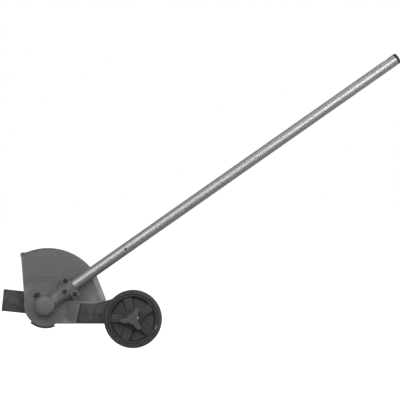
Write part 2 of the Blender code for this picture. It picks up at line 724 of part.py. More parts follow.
def clamp_half(front, back, start):
    """One half of the tube clamp, seen along Y: a block with an ear for each bolt."""
    ear_low, ear_high = CLAMP_BOLT_U - CLAMP_EAR, CLAMP_BOLT_U + CLAMP_EAR
    reach, corner = CLAMP_BOLT_N + CLAMP_EAR, CLAMP_EAR_CORNER
    right = [(CLAMP_R, start), (CLAMP_R, ear_low - 2 * corner), (reach - corner, ear_low)]
    right += [(reach, ear_low + corner), (reach, ear_high - corner), (reach - corner, ear_high)]
    right.append((CLAMP_R, CLAMP_U[1]))
    left = [(-n, u) for n, u in reversed(right)]
    return plate(right + left, front, back)


def build_clamp(axis_frame):
    low, high = CLAMP_U
    cap = cylinder(CLAMP_R, low + GAP, high, "Z", 36)
    cap = add_piece("clamp_cap", cap, "cast_housing", axis_frame)
    for side in (-1, 1):
        ear = rectangle((side * CLAMP_BOLT_N, CLAMP_BOLT_U), 2 * CLAMP_EAR, 2 * CLAMP_EAR)
        join(cap, plate(rounded(ear, CLAMP_EAR_CORNER), CLAMP_EAR_FRONT, OVERSHOOT / 2))
    web = rectangle((0, CLAMP_BOLT_U), 2 * CLAMP_WEB_N, 2 * CLAMP_WEB)
    join(cap, plate(web, CLAMP_WEB_FRONT, OVERSHOOT / 2))
    reach = 2 * CLAMP_BOLT_N
    cut(cap, box((-reach, -CLAMP_SPLIT / 2, low - OVERSHOOT), (reach, reach, high + OVERSHOOT)))
    cut(cap, cylinder(TUBE_R + GAP, low - OVERSHOOT, high + OVERSHOOT, "Z"))
    outside, seat = CLAMP_EAR_FRONT - OVERSHOOT, CLAMP_EAR_FRONT + CLAMP_COUNTERBORE
    head = (seat - GAP - CLAMP_BOLT_HEAD, seat - GAP)
    for name, side in (("clamp_bolt_upper", -1), ("clamp_bolt_lower", 1)):
        place = (side * CLAMP_BOLT_N, 0, CLAMP_BOLT_U)
        cut(cap, cylinder(CLAMP_BOLT_R + GAP, outside, OVERSHOOT, segments=20), place=place)
        cut(cap, cylinder(CLAMP_COUNTERBORE_R, outside, seat, segments=20), place=place)
        shank = (CLAMP_BOLT_R, CLAMP_BOLT_TIP)
        socket_screw(name, axis_frame, place, CLAMP_BOLT_HEAD_R, head, shank, CLAMP_BOLT_FLATS)

    place = (0, 0, LOCATING_U)
    cut(cap, cylinder(LOCATING_HOLE_R, outside, 0, segments=20), place=place)
    cut(cap, cylinder(LOCATING_HEAD_R + 2 * GAP, outside, LOCATING_SEAT, segments=20), place=place)
    shank = (LOCATING_R, LOCATING_TIP)
    socket_screw("locating_screw", axis_frame, place, LOCATING_HEAD_R, LOCATING_HEAD_Y, shank, LOCATING_FLATS)


def build_output(hub, blade_turns):
    rings = [("output_front_outer_ring", FRONT_OUTER_RING, FRONT_BEARING_Y, hub)]
    rings.append(("output_rear_outer_ring", REAR_OUTER_RING, REAR_BEARING_Y, hub))
    rings.append(("output_front_inner_ring", FRONT_INNER_RING, FRONT_BEARING_Y, blade_turns))
    rings.append(("output_rear_inner_ring", REAR_INNER_RING, REAR_BEARING_Y, blade_turns))
    for name, radii, ends, frame in rings:
        add_piece(name, tube(*radii, *ends, segments=20), "bright_steel", frame)

    bore_r = OUTPUT_R + GAP
    front, back = SEAL_Y
    seal = [(bore_r, front), (SEAL_R, front), (SEAL_R, back), (SEAL_LIP_R, back)]
    seal += [(SEAL_LIP_R, SEAL_LIP_BACK), (bore_r, SEAL_LIP_BACK)]
    add_piece("output_seal", turned(seal, segments=20), "seal_rubber", hub)

    front, back = OUTPUT_Y
    shaft = [(0, front), (OUTPUT_FRONT_R, front), (OUTPUT_FRONT_R, OUTPUT_SHOULDER)]
    shaft += [(OUTPUT_R, OUTPUT_SHOULDER), (OUTPUT_R, back - OUTPUT_EDGE)]
    shaft += [(OUTPUT_R - OUTPUT_EDGE, back), (0, back)]
    add_piece("output_shaft", turned(shaft, segments=20), "bright_steel", blade_turns)

    near, far = GEAR_ENDS
    gear_front, gear_back = [(bore_r, near), (GEAR_FRONT_R, near)], [(GEAR_BACK_R, far), (bore_r, far)]
    gear = bevel_gear(GEAR_TEETH, PINION_TEETH, TUBE_ANGLE, "Y", -1, gear_front, gear_back)
    add_piece("bevel_gear", gear, "gear_steel", blade_turns)


def build_blade_stack(blade_turns):
    bore_r = OUTPUT_R + GAP
    blade_front, blade_back = BLADE_Y
    disc_back, pilot_back = blade_front - GAP, blade_back - 2 * GAP
    profile = [(bore_r, FLANGE_HUB_FRONT), (FLANGE_HUB_R, FLANGE_HUB_FRONT)]
    profile.append((FLANGE_HUB_R, BLADE_DISC_FRONT))
    profile += [(BLADE_DISC_R - BLADE_DISC_EDGE, BLADE_DISC_FRONT)]
    profile += [(BLADE_DISC_R, BLADE_DISC_FRONT + BLADE_DISC_EDGE), (BLADE_DISC_R, disc_back)]
    profile += [(BLADE_PILOT_R, disc_back), (BLADE_PILOT_R, pilot_back), (bore_r, pilot_back)]
    flange = add_piece("inner_flange", turned(profile), "gear_steel", blade_turns)
    for quarter in range(4):
        x, z = polar(LOCK_R, LOCK_ANGLE + 90 * quarter)
        lock_hole = cylinder(LOCK_HOLE_R, BLADE_DISC_FRONT - OVERSHOOT, disc_back + OVERSHOOT, segments=12)
        cut(flange, lock_hole, place=(x, 0, z))

    bar = plate(rectangle((0, 0), BLADE_LENGTH, BLADE_WIDTH), *BLADE_Y)
    blade = add_piece("edger_blade", bar, "blade_steel", blade_turns, turn_y=BLADE_TILT)
    cut(blade, cylinder(BLADE_PILOT_R + GAP, blade_front - OVERSHOOT, blade_back + OVERSHOOT))

    cup_front = blade_back + GAP
    cup = [(radius, cup_front + away) for radius, away in CUP_WASHER]
    cup = [(bore_r, cup[0][1])] + cup + [(bore_r, cup[-1][1])]
    add_piece("blade_cup_washer", turned(cup), "gear_steel", blade_turns)
    nut_front = cup[-1][1] + GAP
    nut_back = nut_front + BLADE_NUT_HEIGHT
    nut = plate(hexagon(BLADE_NUT_FLATS), nut_front, nut_back)
    nut = add_piece("blade_nut", nut, "bright_steel", blade_turns)
    cut(nut, cylinder(bore_r, nut_front - OVERSHOOT, nut_back + OVERSHOOT, segments=20))


def guard_outline(inset):
    """The guard seen along Y. Its arc and right side move in by inset; its left and lower edges stay."""
    radius = GUARD_R - inset
    start = math.acos((GUARD_LEFT_X - GUARD_CENTRE[0]) / radius)
    corner = beyond(GUARD_CORNER, direction(GUARD_CORNER, GUARD_LOWER_EDGE[0]), inset)
    hub_start = math.asin((GUARD_LOWER_EDGE[1][1] - AXIS_Z) / FLANGE_R)
    hub = arc((0, AXIS_Z), FLANGE_R, hub_start, GUARD_HUB_END - math.tau, 26)
    fan = arc(GUARD_CENTRE, radius, start, GUARD_RIGHT_ANGLE, 24)
    return GUARD_LEFT_EDGE + fan + [corner] + GUARD_LOWER_EDGE + hub[:-1]


def guard_hollow(inset):
    """The space inside the guard's rim, open on the left and below."""
    fan = arc(GUARD_CENTRE, GUARD_R - inset, GUARD_HOLLOW_ANGLE, GUARD_RIGHT_ANGLE, 24)
    shoulder = beyond(GUARD_CENTRE, (math.cos(GUARD_RIGHT_ANGLE), math.sin(GUARD_RIGHT_ANGLE)), GUARD_R)
    foot = beyond(fan[-1], direction(shoulder, GUARD_CORNER), GUARD_R)
    return fan + [foot, (fan[0][0], foot[1])]


def build_guard(root, hub):
    chamfer_end = GUARD_FRONT + GUARD_CHAMFER
    layers = [(GUARD_FRONT, guard_outline(GUARD_CHAMFER)), (chamfer_end, guard_outline(0))]
    layers += [(GUARD_BACK, guard_outline(0))]
    guard = add_piece("blade_guard", layered(layers), "guard_paint", root)
    slope = GUARD_WALL * (math.sqrt(2) - 1)
    hollow = [(GUARD_FLOOR, guard_hollow(GUARD_CHAMFER + slope))]
    hollow.append((chamfer_end + slope, guard_hollow(GUARD_WALL)))
    hollow.append((GUARD_BACK + OVERSHOOT, guard_hollow(GUARD_WALL)))
    cut(guard, layered(hollow))
    join(guard, plate(GUARD_LIP, chamfer_end, GUARD_BACK - GAP))
    ring_front, ring_root = GUARD_FRONT - RING_HEIGHT, GUARD_FRONT + GUARD_WALL / 2
    join(guard, sector(RING_INNER_R, RING_OUTER_R, RING_ANGLES, ring_front, ring_root, 24), hub)
    near, far = GUARD_FRONT - OVERSHOOT, GUARD_FLOOR + OVERSHOOT
    cut(guard, cylinder(GUARD_HUB_HOLE_R, near, far), hub)
    for x, z in flange_screw_places():
        cut(guard, cylinder(FLANGE_HOLE_R, near, far, segments=12), hub, (x, 0, z))
    cut(guard, cylinder(LOCK_HOLE_R, near, far, segments=20), hub, (LOCK_X, 0, LOCK_Z))
    for x, z in BRACKET_SCREWS.values():
        screw_hole = cylinder(BRACKET_SCREW_R + GAP, BRACKET_SCREW_TIP - GAP, far, segments=16)
        cut(guard, screw_hole, root, (x, 0, z))
    head = (GUARD_FLOOR + GAP, GUARD_FLOOR + GAP + GUARD_SCREW_HEAD)
    for number, angle in enumerate(GUARD_SCREW_ANGLES, 1):
        x, z = polar(GUARD_SCREW_R, angle)
        shank = (FLANGE_THREAD_R, FLANGE_SCREW_TIP)
        rear_screw(f"guard_screw_{number}", hub, (x, 0, z), GUARD_SCREW_HEAD_R, head, shank)


def build_shoe(hub):
    strip = sector(SHOE_INNER_R, SHOE_OUTER_R, SHOE_ANGLES, *SHOE_Y)
    shoe = add_piece("wear_shoe", strip, "arm_paint", hub)
    web_angles = (SHOE_ANGLES[0] + SHOE_WEB_SETBACK, SHOE_ANGLES[1] - SHOE_WEB_SETBACK)
    join(shoe, sector(SHOE_WEB_INNER_R, SHOE_OUTER_R - SHOE_WEB_SETBACK, web_angles, *SHOE_WEB_Y))
    web_front, web_back = SHOE_WEB_Y
    head = (web_back + GAP, web_back + GAP + SHOE_SCREW_HEAD)
    for number, angle in enumerate(SHOE_SCREW_ANGLES, 1):
        x, z = polar(SHOE_SCREW_R, angle)
        screw_hole = cylinder(FLANGE_HOLE_R, web_front - OVERSHOOT, web_back + OVERSHOOT, segments=12)
        cut(shoe, screw_hole, place=(x, 0, z))
        shank = (FLANGE_THREAD_R, FLANGE_SCREW_TIP)
        rear_screw(f"shoe_screw_{number}", hub, (x, 0, z), SHOE_SCREW_HEAD_R, head, shank)


def build_bracket(root, hub):
    front, back = BRACKET_Y
    outside = back + OVERSHOOT
    bracket = add_piece("arm_bracket", plate(BRACKET_FACE, front, back), "bracket_paint", root)
    cut(bracket, box((ARM_ROOM_START, ARM_Y[0] - GAP, 0), (WHEEL_X, outside, 2 * AXIS_Z)))
    join(bracket, plate(BRACKET_TONGUE, ARM_Y[1] + GAP, back))
    join(bracket, plate(BRACKET_PAD, GUARD_FLOOR + GAP, BRACKET_PAD_BACK))
    cut(bracket, cylinder(BRACKET_HUB_R, front - OVERSHOOT, outside, segments=48), hub)
    width, depth = BRACKET_GROOVE
    low, high = BRACKET_GROOVE_Z
    for x in BRACKET_GROOVES_X:
        cut(bracket, box((x, front - OVERSHOOT, low), (x + width, front + depth, high)))
    for x, z in ARM_BOLTS.values():
        cut(bracket, cylinder(ARM_BOLT_R + GAP, ARM_Y[0], outside, segments=12), place=(x, 0, z))
    for name, (x, z) in BRACKET_SCREWS.items():
        cut(bracket, cylinder(BRACKET_SCREW_R + GAP, GUARD_FLOOR, outside, segments=12), place=(x, 0, z))
        head = (back + GAP, back + GAP + BRACKET_SCREW_HEAD)
        shank = (BRACKET_SCREW_R, BRACKET_SCREW_TIP)
        rear_screw(name, root, (x, 0, z), BRACKET_SCREW_HEAD_R, head, shank)


def build_arm(root):
    front, back = ARM_Y
    arm = add_piece("wheel_arm", plate(rounded(ARM_OUTLINE, ARM_CORNER), front, back), "arm_paint", root)
    axle_slot = slot_outline(WHEEL_X, WHEEL_R, WHEEL_R + DEPTH_TRAVEL, AXLE_R + GAP)
    cut(arm, plate(axle_slot, front - OVERSHOOT, back + OVERSHOOT))
    nut_front = BRACKET_Y[1] + GAP
    nut_back = nut_front + ARM_NUT_HEIGHT
    for name, (x, z) in ARM_BOLTS.items():
        place = (x, 0, z)
        bolt_hole = cylinder(ARM_BOLT_R + GAP, front - OVERSHOOT, nut_back + OVERSHOOT, segments=16)
        cut(arm, bolt_hole, place=place)
        head = (front - GAP - ARM_BOLT_HEAD, front - GAP)
        shank = (ARM_BOLT_R, ARM_BOLT_TIP)
        socket_screw(name, root, place, ARM_BOLT_HEAD_R, head, shank, ARM_BOLT_FLATS)
        nut = plate(hexagon(ARM_NUT_FLATS), nut_front, nut_back)
        nut = add_piece(name.replace("bolt", "nut"), nut, "bright_steel", root, place)
        cut(nut, bolt_hole.copy(), place=place)


def build_lock(lock_slides):
    front, back = LOCK_HEAD_Y
    edge = LOCK_TIP_EDGE
    profile = [(0, back - edge), (LOCK_PIN_R, back - edge), (LOCK_PIN_R, LOCK_TIP - edge)]
    profile += [(LOCK_PIN_R - edge, LOCK_TIP), (0, LOCK_TIP)]
    button = add_piece("spindle_lock_button", turned(profile, segments=20), "black_plastic", lock_slides)
    head = rounded(rectangle((0, 0), LOCK_HEAD_LENGTH, LOCK_HEAD_WIDTH), LOCK_HEAD_CORNER)
    lie_along_tube = -TUBE_ANGLE
    join(button, plate(head, front, back), turn_y=lie_along_tube)
    width, depth = LOCK_RIB_GROOVE
    for rib in range(LOCK_RIBS):
        x = (rib - (LOCK_RIBS - 1) / 2) * LOCK_RIB_PITCH
        low = (x - width / 2, front - OVERSHOOT, -LOCK_HEAD_WIDTH)
        high = (x + width / 2, front + depth, LOCK_HEAD_WIDTH)
        cut(button, box(low, high), turn_y=lie_along_tube)

    start = back + SPRING_WIRE_R + GAP
    curve = bpy.data.curves.new("lock_spring", "CURVE")
    curve.dimensions = "3D"
    curve.bevel_depth = SPRING_WIRE_R * MM
    curve.bevel_resolution = 0
    curve.use_fill_caps = True
    line = curve.splines.new("POLY")
    count = int(SPRING_TURNS * SPRING_STEPS)
    line.points.add(count)
    for step in range(count + 1):
        turn = math.tau * step / SPRING_STEPS
        point = on_axis("Y", SPRING_R, turn, start + (SPRING_END - start) * step / count)
        line.points[step].co = (*[value * MM for value in point], 1)
    add_object("lock_spring", curve, lock_slides)
    curve.materials.append(make_material("lock_spring", "bright_steel"))


def build_carriage(carriage):
    front = ARM_Y[1] + GAP
    back, edge = front + AXLE_HEAD, AXLE_HEAD_EDGE
    head = [(0, front), (AXLE_HEAD_R, front), (AXLE_HEAD_R, back - edge)]
    head += [(AXLE_HEAD_R - edge, back), (0, back)]
    bolt = add_piece("axle_bolt", turned(head, segments=6), "bright_steel", carriage)
    join(bolt, cylinder(AXLE_R, AXLE_FRONT, front + edge, segments=20))
    shoulder_back = ARM_Y[0] - GAP
    sleeve = [(AXLE_R + GAP, SLEEVE_FRONT), (SLEEVE_R, SLEEVE_FRONT), (SLEEVE_R, SLEEVE_SHOULDER)]
    sleeve += [(SLEEVE_SHOULDER_R, SLEEVE_SHOULDER), (SLEEVE_SHOULDER_R, shoulder_back)]
    sleeve.append((AXLE_R + GAP, shoulder_back))
    add_piece("axle_sleeve", turned(sleeve), "bright_steel", carriage)
    add_piece("hub_washer", tube(SLEEVE_R + GAP, WASHER_R, *HUB_WASHER_Y), "bright_steel", carriage)
    add_piece("clamp_washer", tube(AXLE_R + GAP, WASHER_R, *CLAMP_WASHER_Y), "bright_steel", carriage)


def build_wheel(wheel_turns):
    front, back = HUB_Y
    rim_front, rim_back = RIM_Y
    web_front, web_back = WEB_Y
    step, draft, edge = web_front - HUB_STEP, WHEEL_DRAFT, WHEEL_EDGE
    profile = [(HUB_BORE_R, back), (HUB_BACK_R, back), (HUB_BACK_R + draft, web_back)]
    profile += [(RIM_INNER_R - draft, web_back), (RIM_INNER_R, rim_back), (RIM_R, rim_back)]
    profile += [(RIM_R, rim_front), (RIM_R - edge, rim_front - RIM_LIP), (RIM_INNER_R, rim_front)]
    profile.append((RIM_INNER_R - draft, web_front))
    profile += [(HUB_R + draft, web_front), (HUB_R, step + edge), (HUB_R - edge, step)]
    profile += [(HUB_CORE_R + draft, step), (HUB_CORE_R, front), (HUB_BORE_R, front)]
    rim = add_piece("wheel_rim", turned(profile, segments=48), "wheel_plastic", wheel_turns)
    start, end = SPOKE_REACH
    middle = ((start + end) / 2, 0)
    for angle in SPOKE_ANGLES:
        base = rectangle(middle, end - start, SPOKE_WIDTH)
        top = rectangle(middle, end - start, SPOKE_WIDTH - 2 * SPOKE_DRAFT)
        join(rim, plate(top, SPOKE_FRONT, web_front / 2, base), turn_y=-math.radians(angle))

    tyre = [(RIM_R + away, y) for away, y in TYRE_SECTION]
    add_piece("tyre", turned(tyre, segments=60), "tyre_rubber", wheel_turns)

    bore, outer = SLEEVE_R + GAP, HUB_BORE_R - GAP
    sides = [("wheel_bush_front", FRONT_BUSH_END, front - GAP, front - GAP - BUSH_FLANGE)]
    sides.append(("wheel_bush_rear", REAR_BUSH_START, back + GAP, back + GAP + BUSH_FLANGE))
    for name, inside, flange, outside in sides:
        bush = [(bore, inside), (outer, inside), (outer, flange), (BUSH_FLANGE_R, flange)]
        bush += [(BUSH_FLANGE_R, outside), (bore, outside)]
        add_piece(name, turned(bush), "guide_plastic", wheel_turns)


def knob_outline(inset):
    points = []
    for step in range(KNOB_POINTS):
        angle = math.tau * step / KNOB_POINTS
        lobe = ((1 + math.cos(KNOB_LOBES * (angle - KNOB_LOBE_ANGLE))) / 2) ** KNOB_LOBE_SHARPNESS
        radius = KNOB_WAIST_R + (KNOB_R - KNOB_WAIST_R) * lobe - inset
        points.append((radius * math.cos(angle), radius * math.sin(angle)))
    return points


def build_knob(knob_turns):
    front, back = KNOB_Y
    layers = [(front + away, knob_outline(inset)) for away, inset in KNOB_LAYERS]
    knob = add_piece("depth_knob", layered(layers), "wheel_plastic", knob_turns)
    join(knob, cylinder(KNOB_BOSS_R, KNOB_BOSS_FRONT, back))
    cut(knob, cylinder(INSERT_R + GAP, INSERT_FRONT - GAP, back + OVERSHOOT, segments=6))
    dimple_r, dimple_depth = KNOB_DIMPLE
    cut(knob, cylinder(dimple_r, front - OVERSHOOT, front + dimple_depth, segments=20))
    insert = cylinder(INSERT_R, INSERT_FRONT, back - GAP, segments=6)
    insert = add_piece("knob_insert", insert, "insert_brass", knob_turns)
    cut(insert, cylinder(AXLE_R + GAP, INSERT_BORE_FRONT, back + OVERSHOOT, segments=20))


def build_edger():
    clear_scene()
    root = make_frame("edger_frame", None, (-FRAME_X, -FRAME_Y, 0))
    hub = make_frame("hub_frame", root, (0, 0, AXIS_Z))
    tube_lean = math.pi / 2 - TUBE_ANGLE
    axis_frame = make_frame("tube_axis", hub, (0, 0, 0), tube_lean)
    drive_turns = make_frame("drive_axis", hub, (0, 0, 0), tube_lean)
    blade_turns = make_frame("blade_axis", hub, (0, 0, 0))
    lock_slides = make_frame("lock_axis", hub, (LOCK_X, 0, LOCK_Z))
    carriage = make_frame("carriage_frame", root, (WHEEL_X, 0, WHEEL_R))
    wheel_turns = make_frame("wheel_axis", carriage, (0, 0, 0))
    knob_turns = make_frame("knob_axis", carriage, (0, 0, 0))

    build_tube(axis_frame)
    build_drive_train(drive_turns)
    build_pinion_seat(axis_frame)
    build_gear_case(hub, axis_frame)
    build_clamp(axis_frame)
    build_output(hub, blade_turns)
    build_blade_stack(blade_turns)
    build_guard(root, hub)
    build_shoe(hub)
    build_bracket(root, hub)
    build_arm(root)
    build_lock(lock_slides)
    build_carriage(carriage)
    build_wheel(wheel_turns)
    build_knob(knob_turns)


build_edger()
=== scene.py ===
"""Looks of the lawn edger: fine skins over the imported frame, their materials, and a plain studio.

Shapes are built in millimetres from two places that the frame gives: the hub, where the blade's axis
crosses the tube's plane, and the wheel's centre. X runs towards the top of the tube, Y away from the
wheel's side, and Z is up. N is across the tube and U along it, both from the hub.
"""

import json
import math

import bmesh
import bpy
from mathutils import Matrix, Vector


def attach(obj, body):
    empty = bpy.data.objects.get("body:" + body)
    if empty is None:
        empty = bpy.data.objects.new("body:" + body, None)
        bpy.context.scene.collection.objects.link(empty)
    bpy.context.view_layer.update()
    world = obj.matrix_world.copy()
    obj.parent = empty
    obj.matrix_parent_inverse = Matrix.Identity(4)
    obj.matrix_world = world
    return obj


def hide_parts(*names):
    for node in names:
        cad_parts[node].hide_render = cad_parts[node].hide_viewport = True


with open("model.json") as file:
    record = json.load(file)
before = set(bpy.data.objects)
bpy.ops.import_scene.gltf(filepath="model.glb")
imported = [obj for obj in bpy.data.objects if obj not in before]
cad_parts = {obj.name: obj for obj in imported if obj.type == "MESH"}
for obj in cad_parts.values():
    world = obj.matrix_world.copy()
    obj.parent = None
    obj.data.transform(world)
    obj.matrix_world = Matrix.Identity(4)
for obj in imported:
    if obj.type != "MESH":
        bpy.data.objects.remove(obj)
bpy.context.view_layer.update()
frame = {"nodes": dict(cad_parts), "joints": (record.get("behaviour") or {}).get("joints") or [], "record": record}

MM = 0.001
WELD_REACH = 0.00002
JOINTS = {joint["name"]: joint for joint in frame["joints"]}
HUB = Vector(JOINTS["blade_spin"]["pos_m"])
WHEEL = Vector(JOINTS["wheel_spin"]["pos_m"])
TUBE_WAY = Vector(JOINTS["drive_spin"]["axis"])
TUBE_ANGLE = math.atan2(TUBE_WAY.z, TUBE_WAY.x)

TUBE_IN_HUB = Matrix.Rotation(math.pi / 2 - TUBE_ANGLE, 4, "Y")
HUB_PLACE = Matrix.Translation(HUB)
TUBE_PLACE = HUB_PLACE @ TUBE_IN_HUB
GROUND_PLACE = Matrix.Translation((HUB.x, HUB.y, 0))
WHEEL_PLACE = Matrix.Translation(WHEEL)


# ---------- studio, in metres ----------

AMBIENT = 0.36
FLOOR_RADIUS = 30.0
FLOOR_GREY = 0.32
FLOOR_ROUGHNESS = 0.9
FLOOR_GLOW = 0.97
# Each softbox: place, aim, size, spread in degrees, power in watts. Lengths are in metres.
SOFTBOXES = {
    "key_low": ((-0.63, -1.16, 0.65), (-0.28, 0, 0.15), (0.7, 0.7), 180, 4.6),
    "key_high": ((0.75, -1.3, 0.95), (0.42, 0, 0.63), (1.1, 1.1), 50, 2.2),
    "front": ((0.3, -3.0, 1.0), (-0.2, 0, 0.2), (1.6, 1.2), 180, 30.0),
    "right_side": ((2.2, 0.2, 0.8), (-0.25, 0, 0.15), (0.8, 1.0), 180, 24.0),
    "top": ((-0.6, -0.3, 2.4), (-0.3, 0, 0.2), (1.2, 1.0), 180, 3.0),
    "back": ((-0.5, 2.8, 1.3), (-0.2, 0, 0.2), (1.6, 1.2), 180, 26.0),
}
DIFFUSE_ONLY = ("front", "back")
SENSOR_WIDTH = 36
CAMERA_REACH = 50
CAMERA_DISTANCE = 5.1
VIEW_WIDTH = 0.92
CAMERA_X = -0.0007
CAMERA_Z = 0.3396


# ---------- driving sizes, in millimetres ----------

AXIS_Z = HUB.z / MM
TUBE_R = 12.7
TUBE_BORE_R = 11.1
TUBE_START = 37.0
TUBE_END = 985.7
RIVET_U = 226.3
LOCATING_U = 56.7
CASE_R = 23.0
CASE_FRONT = -16.0
FLANGE_R = 49.7
CLAMP_R = 16.8
CLAMP_END = 81.3
CLAMP_BOLT_U = 71.2
CLAMP_BOLT_N = 18.9
CLAMP_EAR = 7.6
CLAMP_EAR_FRONT = -13.5
LOCK_X, LOCK_Z = -20.5, 23.0
GUARD_FRONT = 23.3
GUARD_BACK = 72.0
GUARD_WALL = 3.0
GUARD_CHAMFER = 8.0
GUARD_CENTRE = (2.1, 96.4)
GUARD_R = 131.4
GUARD_LEFT_X = -56.8
GUARD_RIGHT_ANGLE = math.radians(29.5)
GUARD_LEFT_EDGE = [(-49.8, 108.2), (-51.6, 137.3), (-56.2, 199.5)]
GUARD_CORNER = (137.9, 106.8)
GUARD_LOWER_EDGE = [(116.0, 100.3), (59.2, 100.3)]
ARM_FRONT = 24.6
ARM_BACK = 29.6
BRACKET_FRONT = 16.5
BRACKET_BACK = 33.5
ARM_BOLTS = {"near": (96.2, 75.9), "far": (122.9, 75.9)}
BRACKET_SCREWS = {"near": (60.0, 112.0), "far": (74.0, 112.0)}
WHEEL_X = (WHEEL.x - HUB.x) / MM
WHEEL_R = WHEEL.z / MM
BLADE_FRONT = 38.8
BLADE_BACK = 41.8
BLADE_TILT = math.radians(6.0)
KNURLS = 24

TURN_SEGMENTS = 96
HOLE_PAST = 40
LOCATING_HOLE_R = 3.5
RIVET_HOLE_R = 1.9
LOCK_HOLE_U = (960, 970)
LOCK_HOLE_HALF = 4.5
INDEX_HOLE_U = (947, 953)
INDEX_HOLE_HALF = 3
TUBE_HOLE_CORNER = 2.0
TUBE_HOLE_Y = (9.7, 16)
END_NOTCH_HALF = 2.5
END_NOTCH_DEPTH = 7
BUSH_GAP = 0.3
RIVET_Y = -13.0
NECK_R = 17
NECK_U = (5, 54)
SMALL_SCREW_HOLE_R = 2.4
BRACKET_SCREW_HOLE_R = 2.3
ARM_BOLT_HOLE_R = 2.7
CLAMP_BOLT_HOLE_R = 3.3
CLAMP_START = 50.3
CLAMP_EAR_CORNER = 2.5
CLAMP_WEB = 5
CLAMP_WEB_N = 21
CLAMP_LIP_N = 18.2
CLAMP_LIP_END = 64.0
COUNTERBORE_DEPTH = 6.4
LOCK_HOLE_R = 3.5
RIB_PITCH = 2.4
RIB_HALF = 0.55
EDGE_R = 2.5
INNER_EDGE_R = (1.5, 1.0)
RING_ANGLES = (8, 133)
SHOE_ANGLES = (-131, -68)
SHOE_WEB_ANGLES = (-130, -69)
VENT_X = (50.5, 54.0)
VENT_WIDTH = 1.6
VENT_Z = (79.0, 98.0)
SLOT_HALF = 5.3
DEPTH_TRAVEL = 38
BLADE_HALF = (101.6, 25.4)
RIM_EDGE_R = 56.0
WEB_REACH = (24.0, 51.4)
KNOB_Y = (-46.0, -35.9)
KNOB_ROUND = (2.6, 1.0)
KNOB_CORE_R = 11.0
KNOB_LOBE = 18.0
KNOB_LOBES = 3
KNOB_ANGLE = math.radians(67)
KNOB_POINTS = 180


def polar(radius, degrees):
    return radius * math.cos(math.radians(degrees)), radius * math.sin(math.radians(degrees))


GUARD_SCREWS = [polar(40.0, angle) for angle in (60, 150, 210, 330)]
SHOE_SCREWS = [polar(46.0, angle) for angle in (-120, -80)]

SPOKE_ANGLES = [105, 33, -39, -111, -183]
SPOKE_SECTION = [(0, -17.2), (2, -17.2), (4, -17.2), (6, -17.15), (7.8, -17.1), (9.0, -17.0), (9.7, -16.8)]
SPOKE_SECTION += [(10.15, -16.4), (10.4, -15.8), (10.6, -14.0), (10.8, -11.5), (11.0, -9.6), (11.3, -8.8)]
SPOKE_SECTION += [(11.8, -8.25), (12.6, -8.0)]
GAP_COLUMNS = 8


# ---------- shapes, in millimetres ----------

def finish_mesh(shape):
    bmesh.ops.recalc_face_normals(shape, faces=shape.faces)
    mesh = bpy.data.meshes.new("shape")
    shape.to_mesh(mesh)
    shape.free()
    return mesh


def skin(shape, near, far):
    """Faces between two rings of equal length. Points that meet make a triangle, or no face."""
    for index in range(len(near)):
        after = (index + 1) % len(near)
        loop = dict.fromkeys([near[index], near[after], far[after], far[index]])
        if len(loop) > 2:
            shape.faces.new(list(loop))


def on_axis(axis, radius, angle, height):
    along, across = radius * math.cos(angle), radius * math.sin(angle)
    return (along, height, across) if axis == "Y" else (along, across, height)


def turned(profile, axis="Y", segments=TURN_SEGMENTS):
    """A turned solid from (radius, height) corners, which close on themselves or on the axis."""
    shape = bmesh.new()
    rings = []
    for radius, height in profile:
        count = segments if radius else 1
        turns = [math.tau * step / segments for step in range(count)]
        ring = [shape.verts.new([v * MM for v in on_axis(axis, radius, turn, height)])
                for turn in turns]
        rings.append(ring if radius else ring * segments)
    for index, ring in enumerate(rings):
        skin(shape, ring, rings[(index + 1) % len(rings)])
    return finish_mesh(shape)


def cylinder(radius, low, high, axis="Y", segments=64):
    return turned([(0, low), (radius, low), (radius, high), (0, high)], axis, segments)


def layered(layers):
    """A solid through outlines with equal point counts, given as (depth, [(x, z), ...]) along Y."""
    shape = bmesh.new()
    rows = [[shape.verts.new((x * MM, depth * MM, z * MM)) for x, z in outline]
            for depth, outline in layers]
    shape.faces.new(rows[0])
    shape.faces.new(rows[-1])
    for near, far in zip(rows, rows[1:]):
        skin(shape, near, far)
    return finish_mesh(shape)


def plate(outline, front, back):
    return layered([(front, outline), (back, outline)])


def box(low, high):
    corners = [(low[0], low[2]), (high[0], low[2]), (high[0], high[2]), (low[0], high[2])]
    return plate(corners, low[1], high[1])


def arc(centre, radius, start, end, steps):
    turns = [start + (end - start) * step / steps for step in range(steps + 1)]
    return [(centre[0] + radius * math.cos(turn), centre[1] + radius * math.sin(turn)) for turn in turns]


def hexagon(across_flats):
    return arc((0, 0), across_flats / math.sqrt(3), 0, math.radians(300), 5)


def direction(start, end):
    length = math.hypot(end[0] - start[0], end[1] - start[1])
    return (end[0] - start[0]) / length, (end[1] - start[1]) / length


def rounded(corners, radius, steps=6):
    """An outline with each corner replaced by an arc that touches both its sides."""
    outline = []
    for index, (x, z) in enumerate(corners):
        before, after = corners[index - 1], corners[(index + 1) % len(corners)]
        start, end = direction((x, z), before), direction((x, z), after)
        half = math.acos(max(-1, min(1, start[0] * end[0] + start[1] * end[1]))) / 2
        reach = radius / math.tan(half)
        middle = direction((0, 0), (start[0] + end[0], start[1] + end[1]))
        centre = (x + middle[0] * radius / math.sin(half), z + middle[1] * radius / math.sin(half))
        first = math.atan2(z + start[1] * reach - centre[1], x + start[0] * reach - centre[0])
        last = math.atan2(z + end[1] * reach - centre[1], x + end[0] * reach - centre[0])
        sweep = (last - first + math.pi) % math.tau - math.pi
        outline += arc(centre, radius, first, first + sweep, steps)
    return outline


def moved(x=0.0, y=0.0, z=0.0, turn_y=0.0):
    """A shift in millimetres, after a turn about Y."""
    return Matrix.Translation((x * MM, y * MM, z * MM)) @ Matrix.Rotation(turn_y, 4, "Y")


